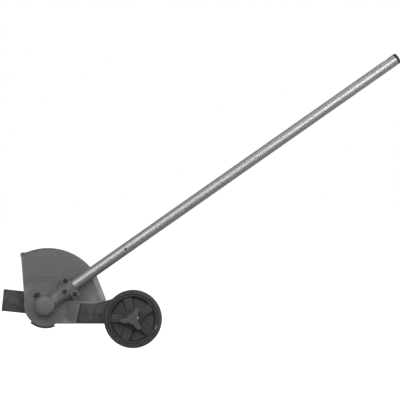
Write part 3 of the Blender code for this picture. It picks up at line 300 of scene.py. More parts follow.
class Solid:
    """A shape under construction. It is placed in the frame, cut and joined, and then made into a piece."""

    def __init__(self, mesh, place):
        self.place = place
        self.body = self.shown(mesh, Matrix.Identity(4))

    def shown(self, mesh, local):
        made = bpy.data.objects.new("working", mesh)
        bpy.context.scene.collection.objects.link(made)
        mesh.transform(self.place @ local)
        return made

    def combine(self, operation, mesh, local):
        tool = self.shown(mesh, local)
        modifier = self.body.modifiers.new("combine", "BOOLEAN")
        modifier.operation = operation
        modifier.solver = "MANIFOLD"
        modifier.object = tool
        self.bake()
        bpy.data.objects.remove(tool)

    def cut(self, mesh, local=Matrix.Identity(4)):
        self.combine("DIFFERENCE", mesh, local)

    def join(self, mesh, local=Matrix.Identity(4)):
        self.combine("UNION", mesh, local)

    def bake(self):
        graph = bpy.context.evaluated_depsgraph_get()
        mesh = bpy.data.meshes.new_from_object(self.body.evaluated_get(graph))
        self.body.modifiers.clear()
        self.body.data = mesh

    def soften(self, width, segments=3, angle=28):
        """Rounds every edge sharper than the angle."""
        modifier = self.body.modifiers.new("weld", "WELD")
        modifier.merge_threshold = WELD_REACH
        modifier = self.body.modifiers.new("soften", "BEVEL")
        modifier.width = width * MM
        modifier.segments = segments
        modifier.limit_method = "ANGLE"
        modifier.angle_limit = math.radians(angle)
        modifier.use_clamp_overlap = True
        modifier.miter_outer = "MITER_ARC"
        self.bake()

    def round_over(self, voxel, passes, keep=0.35):
        """Melts the joined shapes into one skin with small fillets everywhere, as on a casting."""
        modifier = self.body.modifiers.new("melt", "REMESH")
        modifier.mode = "VOXEL"
        modifier.voxel_size = voxel * MM
        modifier = self.body.modifiers.new("smooth", "SMOOTH")
        modifier.factor = 0.5
        modifier.iterations = passes
        modifier = self.body.modifiers.new("thin_out", "DECIMATE")
        modifier.ratio = keep
        self.bake()

    def finish(self, name, node, body, slot, look, sharp=40):
        """Turns the shape into a shown piece that stands for one CAD node."""
        mesh = self.body.data
        mesh.shade_smooth()
        mesh.set_sharp_from_angle(angle=math.radians(sharp))
        mesh.materials.clear()
        mesh.materials.append(look)
        self.body.name = name
        mesh.name = name
        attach(self.body, body)
        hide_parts(node)
        return self.body


# ---------- materials ----------

# Most noise lies between these two values.
NOISE_SPAN = (0.3, 0.7)

class Look:
    """A node material built step by step around one Principled shader."""

    def __init__(self, name, colour, roughness, metallic=0.0, coat=0.0):
        self.material = bpy.data.materials.new(name)
        self.material.use_nodes = True
        self.tree = self.material.node_tree
        self.shader = self.tree.nodes["Principled BSDF"]
        self.colour = colour
        self.shader.inputs["Base Color"].default_value = (*colour, 1)
        self.shader.inputs["Roughness"].default_value = roughness
        self.shader.inputs["Metallic"].default_value = metallic
        self.shader.inputs["Coat Weight"].default_value = coat
        self.shader.inputs["Coat Roughness"].default_value = 0.3
        self.place = self.node("ShaderNodeTexCoord").outputs["Object"]
        self.base = None
        self.height = None

    def node(self, kind, **values):
        made = self.tree.nodes.new(kind)
        for key, value in values.items():
            setattr(made, key, value)
        return made

    def link(self, source, target):
        self.tree.links.new(source, target)

    def noise(self, scale, detail=4.0, stretch=(1, 1, 1), turn_y=0.0, roughness=0.6):
        """A noise pattern in the piece's own coordinates, stretched along turned axes."""
        mapping = self.node("ShaderNodeMapping", vector_type="TEXTURE")
        mapping.inputs["Rotation"].default_value = (0, turn_y, 0)
        mapping.inputs["Scale"].default_value = stretch
        self.link(self.place, mapping.inputs["Vector"])
        noise = self.node("ShaderNodeTexNoise")
        noise.inputs["Scale"].default_value = scale
        noise.inputs["Detail"].default_value = detail
        noise.inputs["Roughness"].default_value = roughness
        self.link(mapping.outputs["Vector"], noise.inputs["Vector"])
        return noise.outputs["Fac"]

    def ramp(self, source, low, high, first, last):
        """Maps a value between low and high onto two colours or numbers."""
        ramp = self.node("ShaderNodeMapRange")
        ramp.inputs["From Min"].default_value = low
        ramp.inputs["From Max"].default_value = high
        ramp.inputs["To Min"].default_value = first
        ramp.inputs["To Max"].default_value = last
        self.link(source, ramp.inputs["Value"])
        return ramp.outputs["Result"]

    def tint(self, amount, colour):
        """Lays a colour over the base by an amount between 0 and 1."""
        mix = self.node("ShaderNodeMix", data_type="RGBA")
        self.link(amount, mix.inputs["Factor"])
        if self.base is None:
            mix.inputs["A"].default_value = (*self.colour, 1)
        else:
            self.link(self.base, mix.inputs["A"])
        mix.inputs["B"].default_value = (*colour, 1)
        self.base = mix.outputs["Result"]
        self.link(self.base, self.shader.inputs["Base Color"])
        return self

    def edge_wear_and_highlight(self, low, high, colour, breakup_scale=60):
        """Lightens convex edges unevenly: rubbed wear, and on the powder coats also a painted edge highlight."""
        pointiness = self.node("ShaderNodeNewGeometry").outputs["Pointiness"]
        edge = self.ramp(pointiness, low, high, 0, 1)
        broken = self.ramp(self.noise(breakup_scale, 5), 0.35, 0.62, 0, 1)
        product = self.node("ShaderNodeMath", operation="MULTIPLY")
        self.link(edge, product.inputs[0])
        self.link(broken, product.inputs[1])
        return self.tint(product.outputs["Value"], colour)

    def bump(self, source, strength, distance):
        node = self.node("ShaderNodeBump")
        node.inputs["Strength"].default_value = strength
        node.inputs["Distance"].default_value = distance
        self.link(source, node.inputs["Height"])
        if self.height is not None:
            self.link(self.height, node.inputs["Normal"])
        self.height = node.outputs["Normal"]
        self.link(self.height, self.shader.inputs["Normal"])
        return self

    def rough(self, source, low, high, first, last):
        self.link(self.ramp(source, low, high, first, last), self.shader.inputs["Roughness"])
        return self


def grey(level, warmth=0.0):
    return (level * (1 + warmth), level, level * (1 - warmth))


def brushed_tube():
    """Drawn and brushed tube: fine streaks that run along it, with a few handling marks."""
    look = Look("brushed_tube", grey(0.47, 0.004), 0.38, 1.0)
    streaks = look.noise(500, 3, (40, 1, 1), -TUBE_ANGLE)
    look.rough(streaks, *NOISE_SPAN, 0.43, 0.5)
    look.tint(look.ramp(streaks, 0.35, 0.7, 0.0, 0.25), grey(0.4))
    look.tint(look.ramp(look.noise(14, 3, (3, 1, 1), -TUBE_ANGLE), 0.5, 0.75, 0, 0.35), grey(0.4, 0.01))
    look.bump(streaks, 0.02, 0.0001)
    return look.material


def plain_steel(name, level, roughness, turn_scale=500):
    look = Look(name, grey(level), roughness, 1.0)
    grain = look.noise(turn_scale, 4)
    look.rough(grain, *NOISE_SPAN, roughness - 0.07, roughness + 0.1)
    look.tint(look.ramp(look.noise(70, 4), 0.45, 0.75, 0, 0.5), grey(level * 0.6, 0.02))
    look.bump(grain, 0.1, 0.0002)
    return look.material


def black_oxide():
    look = Look("black_oxide", grey(0.035), 0.42, 0.6)
    look.rough(look.noise(400, 4), *NOISE_SPAN, 0.34, 0.55)
    look.edge_wear_and_highlight(0.53, 0.6, grey(0.10))
    look.bump(look.noise(900, 3), 0.12, 0.0002)
    return look.material


def powder_coat(name, level, edge_wear_and_highlight_level):
    """Grey powder coat: a fine orange peel, slight mottling, dust, and lightened edges that are partly rubbed wear
    and partly a painted edge highlight.
    """
    look = Look(name, grey(level, 0.004), 0.5, 0.0, 0.08)
    look.shader.inputs["Specular IOR Level"].default_value = 0.45
    look.tint(look.ramp(look.noise(9, 3), 0.35, 0.7, 0, 0.5), grey(level * 0.84))
    look.tint(look.ramp(look.noise(420, 2), 0.55, 0.75, 0, 0.35), grey(level * 1.25))
    # Lightened convex edges: partly rubbed wear, partly a painted highlight along the edges.
    look.edge_wear_and_highlight(0.515, 0.58, grey(edge_wear_and_highlight_level))
    look.rough(look.noise(160, 4), *NOISE_SPAN, 0.42, 0.6)
    look.bump(look.noise(1300, 2), 0.22, 0.0003)
    look.bump(look.noise(260, 3), 0.08, 0.0006)
    return look.material


def dark_blade():
    """Heat-treated bar: mill scale with fine grinding lines and bare, brighter edges."""
    look = Look("dark_blade", grey(0.027, -0.01), 0.55, 0.1)
    lines = look.noise(700, 3, (25, 1, 1), 0.1)
    look.tint(look.ramp(look.noise(60, 5), 0.4, 0.7, 0, 0.3), grey(0.027))
    look.tint(look.ramp(lines, 0.55, 0.8, 0, 0.35), grey(0.05))
    look.edge_wear_and_highlight(0.53, 0.6, grey(0.07), 40)
    look.rough(look.noise(120, 4), *NOISE_SPAN, 0.48, 0.6)
    look.bump(lines, 0.1, 0.0002)
    look.bump(look.noise(90, 5), 0.1, 0.0006)
    return look.material


def moulded_plastic(name, level, roughness=0.48):
    look = Look(name, grey(level), roughness)
    look.tint(look.ramp(look.noise(30, 4), 0.4, 0.75, 0, 0.5), grey(level * 1.22, 0.01))
    look.edge_wear_and_highlight(0.54, 0.62, grey(level * 1.9), 90)
    look.rough(look.noise(220, 3), *NOISE_SPAN, roughness - 0.06, roughness + 0.12)
    look.bump(look.noise(1500, 2), 0.25, 0.00025)
    return look.material


def rubber(name, level):
    look = Look(name, grey(level, 0.01), 0.78)
    look.shader.inputs["Specular IOR Level"].default_value = 0.35
    look.tint(look.ramp(look.noise(45, 5), 0.45, 0.75, 0, 0.5), grey(level * 1.5, 0.03))
    look.rough(look.noise(150, 4), *NOISE_SPAN, 0.66, 0.88)
    look.bump(look.noise(800, 3), 0.3, 0.0003)
    return look.material


LOOKS = {
    "tube_metal": brushed_tube(),
    "bright_steel": plain_steel("zinc_steel", 0.42, 0.34),
    "gear_steel": plain_steel("gear_steel", 0.26, 0.4),
    "black_steel": black_oxide(),
    "cast_housing": powder_coat("cast_coat", 0.125, 0.28),
    "guard_paint": powder_coat("guard_coat", 0.118, 0.26),
    "bracket_paint": powder_coat("bracket_coat", 0.105, 0.24),
    "blade_steel": dark_blade(),
    "arm_paint": powder_coat("arm_coat", 0.031, 0.1),
    "black_plastic": moulded_plastic("black_plastic", 0.012, 0.4),
    "wheel_plastic": moulded_plastic("wheel_plastic", 0.036),
    "tyre_rubber": rubber("tyre_rubber", 0.046),
    "seal_rubber": rubber("seal_rubber", 0.02),
    "guide_plastic": moulded_plastic("guide_plastic", 0.33, 0.55),
    "insert_brass": plain_steel("insert_brass", 0.42, 0.35),
}
KNOB_LOOK = moulded_plastic("knob_plastic", 0.062)
# A lighter copy of the arm's paint for the arm bolts' heads: a painted highlight that shows them as faint light
# dots.
ARM_BOLT_HIGHLIGHT_LOOK = powder_coat("arm_bolt_highlight_coat", 0.036, 0.12)
NODE_SLOTS = {entry["node"]: entry["material_slot"] for entry in frame["record"]["subparts"]}


def dress_cad_nodes():
    """Gives every carried-over CAD node the look of its slot."""
    for name, node in frame["nodes"].items():
        node.data.materials.clear()
        node.data.materials.append(LOOKS[NODE_SLOTS[name]])
        node.data.shade_smooth()
        node.data.set_sharp_from_angle(angle=math.radians(35))


def finish(solid, node, body, sharp=40, look=None):
    slot = NODE_SLOTS[node]
    return solid.finish("fine_" + node, node, body, slot, look or LOOKS[slot], sharp)


# ---------- studio ----------

def add_softbox(name, place, aim, size, spread, power):
    light = bpy.data.lights.new(name, "AREA")
    light.spread = math.radians(spread)
    light.shape = "RECTANGLE"
    light.size, light.size_y = size
    light.energy = power
    holder = bpy.data.objects.new(name, light)
    bpy.context.scene.collection.objects.link(holder)
    holder.location = place
    holder.rotation_euler = (Vector(aim) - Vector(place)).to_track_quat("-Z", "Y").to_euler()
    holder.visible_glossy = name not in DIFFUSE_ONLY


def build_world(scene):
    """White to the camera, and a soft even grey for light and reflections."""
    world = bpy.data.worlds.new("studio")
    scene.world = world
    world.use_nodes = True
    nodes, links = world.node_tree.nodes, world.node_tree.links
    background = nodes["Background"]
    background.inputs["Color"].default_value = (1, 1, 1, 1)
    background.inputs["Strength"].default_value = AMBIENT
    white = nodes.new("ShaderNodeBackground")
    white.inputs["Color"].default_value = (1, 1, 1, 1)
    white.inputs["Strength"].default_value = 1.0
    rays = nodes.new("ShaderNodeLightPath")
    mix = nodes.new("ShaderNodeMixShader")
    links.new(rays.outputs["Is Camera Ray"], mix.inputs["Fac"])
    links.new(background.outputs["Background"], mix.inputs[1])
    links.new(white.outputs["Background"], mix.inputs[2])
    links.new(mix.outputs["Shader"], nodes["World Output"].inputs["Surface"])


def build_floor(scene):
    """A plain floor that looks white to the camera and is grey in light and reflections."""
    shape = bmesh.new()
    bmesh.ops.create_circle(shape, cap_ends=True, segments=TURN_SEGMENTS, radius=FLOOR_RADIUS)
    mesh = bpy.data.meshes.new("floor")
    shape.to_mesh(mesh)
    shape.free()
    floor = bpy.data.objects.new("floor", mesh)
    scene.collection.objects.link(floor)
    paper = bpy.data.materials.new("paper_floor")
    paper.use_nodes = True
    nodes, links = paper.node_tree.nodes, paper.node_tree.links
    shader = nodes["Principled BSDF"]
    shader.inputs["Base Color"].default_value = (*grey(FLOOR_GREY), 1)
    shader.inputs["Roughness"].default_value = FLOOR_ROUGHNESS
    shader.inputs["Emission Color"].default_value = (1, 1, 1, 1)
    seen = nodes.new("ShaderNodeLightPath")
    glow = nodes.new("ShaderNodeMath")
    glow.operation = "MULTIPLY"
    glow.inputs[1].default_value = FLOOR_GLOW
    links.new(seen.outputs["Is Camera Ray"], glow.inputs[0])
    links.new(glow.outputs["Value"], shader.inputs["Emission Strength"])
    mesh.materials.append(paper)


def build_camera(scene):
    lens = bpy.data.cameras.new("camera")
    lens.sensor_width = SENSOR_WIDTH
    lens.lens = lens.sensor_width * CAMERA_DISTANCE / VIEW_WIDTH
    lens.clip_end = CAMERA_REACH
    camera = bpy.data.objects.new("camera", lens)
    scene.collection.objects.link(camera)
    camera.location = (CAMERA_X, HUB.y - CAMERA_DISTANCE, CAMERA_Z)
    camera.rotation_euler = (math.pi / 2, 0, 0)
    scene.camera = camera


def build_studio():
    scene = bpy.context.scene
    scene.view_settings.view_transform = "Standard"
    scene.view_settings.look = "None"
    build_world(scene)
    build_floor(scene)
    for name, softbox in SOFTBOXES.items():
        add_softbox(name, *softbox)
    build_camera(scene)


# ---------- shared fine shapes ----------

def swept(profile, start, end, steps):
    """A closed (radius, height) profile bent round the Y axis between two angles in degrees."""
    shape = bmesh.new()
    rings = []
    for step in range(steps + 1):
        turn = math.radians(start + (end - start) * step / steps)
        rings.append([shape.verts.new([v * MM for v in on_axis("Y", radius, turn, height)])
                      for radius, height in profile])
    shape.faces.new(rings[0])
    shape.faces.new(rings[-1])
    for near, far in zip(rings, rings[1:]):
        skin(shape, near, far)
    return finish_mesh(shape)


def fillet(centre, radius, start, end, steps=6):
    """Profile points on an arc, with angles in degrees."""
    return arc(centre, radius, math.radians(start), math.radians(end), steps)


def cap_screw(node, body, place, head_r, head, shank_r, tip, flats, look=None):
    """A socket-head screw along Y with a knurled side, a rounded rim and a hexagonal socket."""
    front, back = head
    rim = 0.6
    profile = [(0, front), (head_r - rim, front)] + fillet((head_r - rim, front + rim), rim, -90, 0, 5)
    profile += [(head_r, back), (shank_r, back), (shank_r, tip - 0.5), (shank_r - 0.5, tip), (0, tip)]
    screw = Solid(turned(profile, "Y", 72), place)
    for step in range(KNURLS):
        spot = polar(head_r + 0.08, 360 * step / KNURLS)
        screw.cut(cylinder(0.3, front + 1.1, back + 0.5, segments=8), moved(spot[0], 0, spot[1]))
    screw.cut(plate(hexagon(flats), front - 1, front + 0.6 * (back - front)))
    finish(screw, node, body, look=look)


def rear_screw(node, body, place, head_r, head, shank_r, tip, slot=0.45):
    """A button-head screw put in from behind, with a hexagonal recess."""
    front, back = head
    crown = 0.45 * (back - front)
    profile = [(0, tip), (shank_r, tip), (shank_r, front), (head_r, front), (head_r, back - crown - 0.2)]
    profile += [(head_r - 0.15, back - crown), (head_r - 0.6, back - 0.5 * crown), (head_r - 1.3, back - 0.1)]
    profile += [(head_r - 1.9, back), (0, back)]
    screw = Solid(turned(profile, "Y", 48), place)
    screw.cut(plate(hexagon(2 * slot * head_r), back - 0.5 * (back - front), back + 1))
    finish(screw, node, body)


def hex_nut(node, body, place, flats, front, back, bore_r):
    """A hexagonal nut with rounded-off corners and a lead-in at each end of its bore."""
    nut = Solid(plate(hexagon(flats), front, back), place)
    corner_r = flats / math.sqrt(3)
    trim = [(corner_r - 1.4, front), (corner_r + 0.1, front + 0.8), (corner_r + 0.1, back - 0.8)]
    trim = [(0, front)] + trim + [(corner_r - 1.4, back), (0, back)]
    nut.combine("INTERSECT", turned(trim, "Y", 72), Matrix.Identity(4))
    nut.cut(cylinder(bore_r, front - 1, back + 1, segments=48))
    wide, narrow = bore_r + 1.3, bore_r - 0.2
    nut.cut(turned([(0, front - 1), (wide, front - 1), (narrow, front + 0.5), (0, front + 0.5)], "Y", 48))
    nut.cut(turned([(0, back + 1), (0, back - 0.5), (narrow, back - 0.5), (wide, back + 1)], "Y", 48))
    finish(nut, node, body)


# ---------- tube and its end ----------

def build_tube():
    edge = 0.4
    profile = [(TUBE_BORE_R, TUBE_START), (TUBE_R - edge, TUBE_START), (TUBE_R, TUBE_START + edge)]
    profile += [(TUBE_R, TUBE_END - edge), (TUBE_R - edge, TUBE_END), (TUBE_BORE_R, TUBE_END)]
    tube = Solid(turned(profile, "Z", 128), TUBE_PLACE)
    tube.cut(cylinder(LOCATING_HOLE_R, -15, -5), moved(z=LOCATING_U))
    tube.cut(cylinder(RIVET_HOLE_R, -15, -5), moved(z=RIVET_U))
    for ends, half, side in ((LOCK_HOLE_U, LOCK_HOLE_HALF, 1), (INDEX_HOLE_U, INDEX_HOLE_HALF, -1)):
        corners = [(-half, ends[0]), (half, ends[0]), (half, ends[1]), (-half, ends[1])]
        hole = plate(rounded(corners, TUBE_HOLE_CORNER), *TUBE_HOLE_Y)
        tube.cut(hole, Matrix.Rotation(side * math.pi / 2, 4, "Z"))
    near, far = TUBE_HOLE_Y
    tube.cut(box((near, -END_NOTCH_HALF, TUBE_END - END_NOTCH_DEPTH), (far, END_NOTCH_HALF, TUBE_END + 5)))
    finish(tube, "shaft_tube", "edger_frame")

    start = TUBE_END + BUSH_GAP
    profile = [(6.3, TUBE_END - 16), (10.8, TUBE_END - 16), (10.8, start), (12.4, start), (12.7, start + 0.3)]
    profile += [(12.7, start + 2.2)] + fillet((9.2, start + 2.2), 3.5, 0, 72, 8)
    profile += [(9.5, start + 6.4), (6.9, start + 6.5), (6.3, start + 5.9)]
    finish(Solid(turned(profile, "Z"), TUBE_PLACE), "tube_end_bush", "edger_frame")

    head = RIVET_Y
    dome = [(0, head - 0.95), (1.2, head - 0.85), (2.0, head - 0.6), (2.5, head - 0.25), (2.6, head)]
    dome += [(1.6, head), (1.6, -8.5), (0, -8.5)]
    finish(Solid(turned(dome, "Y", 40), TUBE_PLACE @ moved(z=RIVET_U)), "guide_rivet", "edger_frame")


# ---------- gear case and clamp ----------

def clamp_half(front, back, start):
    """The clamp seen along Y: the tube's width, with an ear on each side."""
    right = [(CLAMP_R, start), (CLAMP_R, 58.6), (24.0, 63.6), (26.5, 66.1), (26.5, 76.3), (24.0, 78.8)]
    right += [(CLAMP_R, CLAMP_END)]
    return plate(right + [(-n, u) for n, u in reversed(right)], front, back)


def build_gear_case():
    profile = [(0, CASE_FRONT - 2), (CASE_R, CASE_FRONT - 2), (CASE_R, 11.0)]
    profile += fillet((CASE_R + 4, 11.0), 4.0, 180, 90)
    profile += [(FLANGE_R, 15.0), (FLANGE_R, 23), (0, 23)]
    case = Solid(turned(profile, "Y", 160), HUB_PLACE)
    case.join(cylinder(NECK_R, *NECK_U, "Z", TURN_SEGMENTS), TUBE_IN_HUB)
    case.join(clamp_half(0.2, 19.0, 40.0), TUBE_IN_HUB)
    case.round_over(0.7, 7, 0.3)
    case.cut(box((-40, -40, 50), (40, 0.2, 87)), TUBE_IN_HUB)
    case.cut(cylinder(45, CASE_FRONT - 20, CASE_FRONT))
    bore = [(0, CASE_FRONT - 2), (17.8, CASE_FRONT - 2), (17.8, 12.2), (12.3, 12.2), (12.3, 18.9)]
    bore += [(9.3, 18.9), (9.3, 25), (0, 25)]
    case.cut(turned(bore, "Y"))
    bore = [(0, 8), (12.1, 8), (12.1, 17.2), (11.3, 17.2), (11.3, 34), (7.4, 34), (7.4, 36.7), (13, 36.7)]
    bore += [(13, 90), (0, 90)]
    case.cut(turned(bore, "Z"), TUBE_IN_HUB)
    for side in (-1, 1):
        spot = TUBE_IN_HUB @ moved(side * CLAMP_BOLT_N, 0, CLAMP_BOLT_U)
        case.cut(cylinder(CLAMP_BOLT_HOLE_R, -2, 17, segments=40), spot)
    for x, z in GUARD_SCREWS + SHOE_SCREWS:
        case.cut(cylinder(SMALL_SCREW_HOLE_R, 16.8, 25, segments=24), moved(x, 0, z))
    pocket = [(0, 10), (5.2, 10), (5.2, 21), (3.3, 21), (3.3, 25), (0, 25)]
    case.cut(turned(pocket, "Y", 48), moved(LOCK_X, 0, LOCK_Z))
    finish(case, "gear_case", "edger_frame", 30)

    dome = [(0, -27.6), (5, -27.55), (9, -27.4), (12, -27.1), (15, -26.5), (17.5, -25.6), (19.5, -24.4)]
    dome += [(21, -23.0), (22.1, -21.4), (22.8, -19.6), (CASE_R, -18.2), (CASE_R, CASE_FRONT - 0.6)]
    dome += [(CASE_R - 0.3, CASE_FRONT - 0.3), (9.8, CASE_FRONT - 0.3), (9.8, -22.8), (0, -22.8)]
    finish(Solid(turned(dome, "Y", 128), HUB_PLACE), "gear_case_cover", "edger_frame", 50)


def build_clamp():
    cap = Solid(cylinder(CLAMP_R, CLAMP_START, CLAMP_END, "Z", TURN_SEGMENTS), TUBE_PLACE)
    low, high = CLAMP_BOLT_U - CLAMP_EAR, CLAMP_BOLT_U + CLAMP_EAR
    for side in (-1, 1):
        left, right = side * CLAMP_BOLT_N - CLAMP_EAR, side * CLAMP_BOLT_N + CLAMP_EAR
        ear = [(left, low), (right, low), (right, high), (left, high)]
        cap.join(plate(rounded(ear, CLAMP_EAR_CORNER), CLAMP_EAR_FRONT, 5))
    low, high = CLAMP_BOLT_U - CLAMP_WEB, CLAMP_BOLT_U + CLAMP_WEB
    web = [(-CLAMP_WEB_N, low), (CLAMP_WEB_N, low), (CLAMP_WEB_N, high), (-CLAMP_WEB_N, high)]
    cap.join(plate(web, -9, 5))
    lip = [(-CLAMP_LIP_N, CLAMP_START), (CLAMP_LIP_N, CLAMP_START)]
    lip += [(CLAMP_LIP_N, CLAMP_LIP_END), (-CLAMP_LIP_N, CLAMP_LIP_END)]
    cap.join(plate(lip, -3.2, 5))
    cap.round_over(0.45, 5, 0.35)
    cap.cut(box((-40, -0.1, 0), (40, 40, 110)))
    cap.cut(cylinder(13, 0, 110, "Z", TURN_SEGMENTS))
    seat = CLAMP_EAR_FRONT + COUNTERBORE_DEPTH
    counterbore = [(0, -30), (6.5, -30), (6.5, -13.4), (6.0, -12.9), (6.0, seat), (0, seat)]
    for side in (-1, 1):
        spot = moved(side * CLAMP_BOLT_N, 0, CLAMP_BOLT_U)
        cap.cut(cylinder(CLAMP_BOLT_HOLE_R, -30, 5, segments=40), spot)
        cap.cut(turned(counterbore, "Y", 64), spot)
    cap.cut(cylinder(LOCATING_HOLE_R, -30, 0, segments=40), moved(z=LOCATING_U))
    cap.cut(cylinder(5.6, -30, -15.2, segments=48), moved(z=LOCATING_U))
    finish(cap, "clamp_cap", "edger_frame", 30)

    head = (CLAMP_EAR_FRONT + 1.0, CLAMP_EAR_FRONT + 6.1)
    for node, side in (("clamp_bolt_upper", -1), ("clamp_bolt_lower", 1)):
        spot = TUBE_PLACE @ moved(side * CLAMP_BOLT_N, 0, CLAMP_BOLT_U)
        cap_screw(node, "edger_frame", spot, head_r=4.9, head=head, shank_r=3.0, tip=16.0, flats=5.0)
    spot = TUBE_PLACE @ moved(z=LOCATING_U)
    cap_screw("locating_screw", "edger_frame", spot, head_r=5.0, head=(-19.0, -15.5), shank_r=3.2,
              tip=-10.0, flats=4.0)


def build_lock():
    place = HUB_PLACE @ moved(LOCK_X, 0, LOCK_Z)
    along_tube = moved(turn_y=-TUBE_ANGLE)
    pin = [(0, 9.4), (3.0, 9.4), (3.0, 29.3), (2.7, 29.9), (2.0, 30.3), (0, 30.3)]
    head = rounded([(-7.5, -3), (7.5, -3), (7.5, 3), (-7.5, 3)], 1.5)
    shrink = rounded([(-7.0, -2.5), (7.0, -2.5), (7.0, 2.5), (-7.0, 2.5)], 1.1)
    button = Solid(turned(pin, "Y", 48), place)
    between = [(0.5 * (a + c), 0.5 * (b + d)) for (a, b), (c, d) in zip(shrink, head)]
    button.join(layered([(7.0, shrink), (7.25, between), (7.7, head), (10.4, head)]), along_tube)
    for rib in range(-2, 3):
        left, right = RIB_PITCH * rib - RIB_HALF, RIB_PITCH * rib + RIB_HALF
        button.cut(plate([(left, -5), (right, -5), (right, 5), (left, 5)], 6, 7.8), along_tube)
    finish(button, "spindle_lock_button", "spindle_lock")


# ---------- guard, shoe, bracket and arm ----------

def guard_outline(inset):
    """The guard seen along Y. Its arc and right side move in by inset; its left and lower edges stay."""
    radius = GUARD_R - inset
    start = math.acos((GUARD_LEFT_X - GUARD_CENTRE[0]) / radius)
    edge_along = direction(GUARD_CORNER, GUARD_LOWER_EDGE[0])
    corner = [value + step * inset for value, step in zip(GUARD_CORNER, edge_along)]
    hub_start = math.asin((GUARD_LOWER_EDGE[1][1] - AXIS_Z) / FLANGE_R)
    hub_end = math.radians(166.4) - math.tau
    hub = arc((0, AXIS_Z), FLANGE_R, hub_start, hub_end, 72)
    fan = arc(GUARD_CENTRE, radius, start, GUARD_RIGHT_ANGLE, 72)
    return GUARD_LEFT_EDGE + fan + [tuple(corner)] + GUARD_LOWER_EDGE + hub[:-1]


def guard_hollow(inset):
    """The space inside the guard's rim, open on the left and below."""
    fan = arc(GUARD_CENTRE, GUARD_R - inset, math.radians(126), GUARD_RIGHT_ANGLE, 72)
    shoulder = arc(GUARD_CENTRE, GUARD_R, 0, GUARD_RIGHT_ANGLE, 1)[-1]
    side = direction(shoulder, GUARD_CORNER)
    foot = (fan[-1][0] + side[0] * GUARD_R, fan[-1][1] + side[1] * GUARD_R)
    return fan + [foot, (fan[0][0], foot[1])]


def chamfer_layers(outline, front, chamfer, back, near_r, far_r):
    """Layers of a plate with a 45 degree chamfer whose two edges are rounded."""
    layers = []
    near_reach, far_reach = near_r * math.tan(math.pi / 8), far_r * math.tan(math.pi / 8)
    for turn in (0, 0.15, 0.3, 0.45, 0.6, math.pi / 4):
        layers.append((front + near_r * (1 - math.cos(turn)), chamfer + near_reach - near_r * math.sin(turn)))
    for turn in (math.pi / 4, 0.95, 1.1, 1.25, 1.4, math.pi / 2):
        layers.append((front + chamfer + far_reach - far_r * math.cos(turn), far_r * (1 - math.sin(turn))))
    return [(depth, outline(inset)) for depth, inset in layers] + [(back, outline(0))]


def build_guard():
    """The fan-shaped guard with its chamfer, its raised ring and the small lip at its top left corner."""
    outer = chamfer_layers(guard_outline, GUARD_FRONT, GUARD_CHAMFER, GUARD_BACK, EDGE_R, EDGE_R)
    guard = Solid(layered(outer), GROUND_PLACE)
    floor = GUARD_FRONT + GUARD_WALL
    reach = GUARD_WALL * (math.sqrt(2) - 1)
    inner = chamfer_layers(lambda inset: guard_hollow(inset + GUARD_WALL), floor,
                           GUARD_CHAMFER + reach - GUARD_WALL, GUARD_BACK + 10, *INNER_EDGE_R)
    guard.cut(layered(inner))
    lip = rounded([(-59.2, 207.6), (-50.4, 207.6), (-50.4, 217.6), (-59.2, 217.6)], 1.2)
    guard.join(plate(lip, GUARD_FRONT + GUARD_CHAMFER, GUARD_BACK - 0.5))
    hub = moved(z=AXIS_Z)
    ring = [(66.6, 23.8), (66.6, 23.3), (67.2, 23.05), (67.7, 22.6), (69.0, 22.5), (70.3, 22.6)]
    ring += [(70.8, 23.05), (71.4, 23.3), (71.4, 23.8)]
    guard.join(swept(ring, *RING_ANGLES, 90), hub)
    guard.cut(cylinder(14, 10, HOLE_PAST), hub)
    for x, z in GUARD_SCREWS + SHOE_SCREWS:
        guard.cut(cylinder(SMALL_SCREW_HOLE_R, 15, HOLE_PAST, segments=24), hub @ moved(x, 0, z))
    guard.cut(cylinder(LOCK_HOLE_R, 15, HOLE_PAST, segments=32), hub @ moved(LOCK_X, 0, LOCK_Z))
    for x, z in BRACKET_SCREWS.values():
        guard.cut(cylinder(BRACKET_SCREW_HOLE_R, GUARD_FRONT + 0.7, HOLE_PAST, segments=24),
                  moved(x, 0, z))
    finish(guard, "blade_guard", "edger_frame", 15)
    head = (floor + 0.3, floor + 3.3)
    for number, (x, z) in enumerate(GUARD_SCREWS, 1):
        spot = HUB_PLACE @ moved(x, 0, z)
        rear_screw(f"guard_screw_{number}", "edger_frame", spot, head_r=4.2, head=head, shank_r=2.1,
                   tip=17.2)


def build_shoe():
    strip = [(50.1, 17.6), (50.5, 17.2), (53.4, 17.0), (54.0, 17.4), (54.2, 18.0), (54.2, 36.2), (53.9, 36.8)]
    strip += [(53.3, 37.0), (50.6, 37.0), (50.1, 36.5)]
    shoe = Solid(swept(strip, *SHOE_ANGLES, 48), HUB_PLACE)
    web = [(42.5, 26.6), (53.2, 26.6), (53.2, 29.4), (42.5, 29.4)]
    shoe.join(swept(web, *SHOE_WEB_ANGLES, 48))
    for x, z in SHOE_SCREWS:
        shoe.cut(cylinder(SMALL_SCREW_HOLE_R, 20, HOLE_PAST, segments=24), moved(x, 0, z))
    finish(shoe, "wear_shoe", "edger_frame")
    for number, (x, z) in enumerate(SHOE_SCREWS, 1):
        spot = HUB_PLACE @ moved(x, 0, z)
        rear_screw(f"shoe_screw_{number}", "edger_frame", spot, head_r=3.4, head=(29.7, 32.3),
                   shank_r=2.1, tip=17.2)


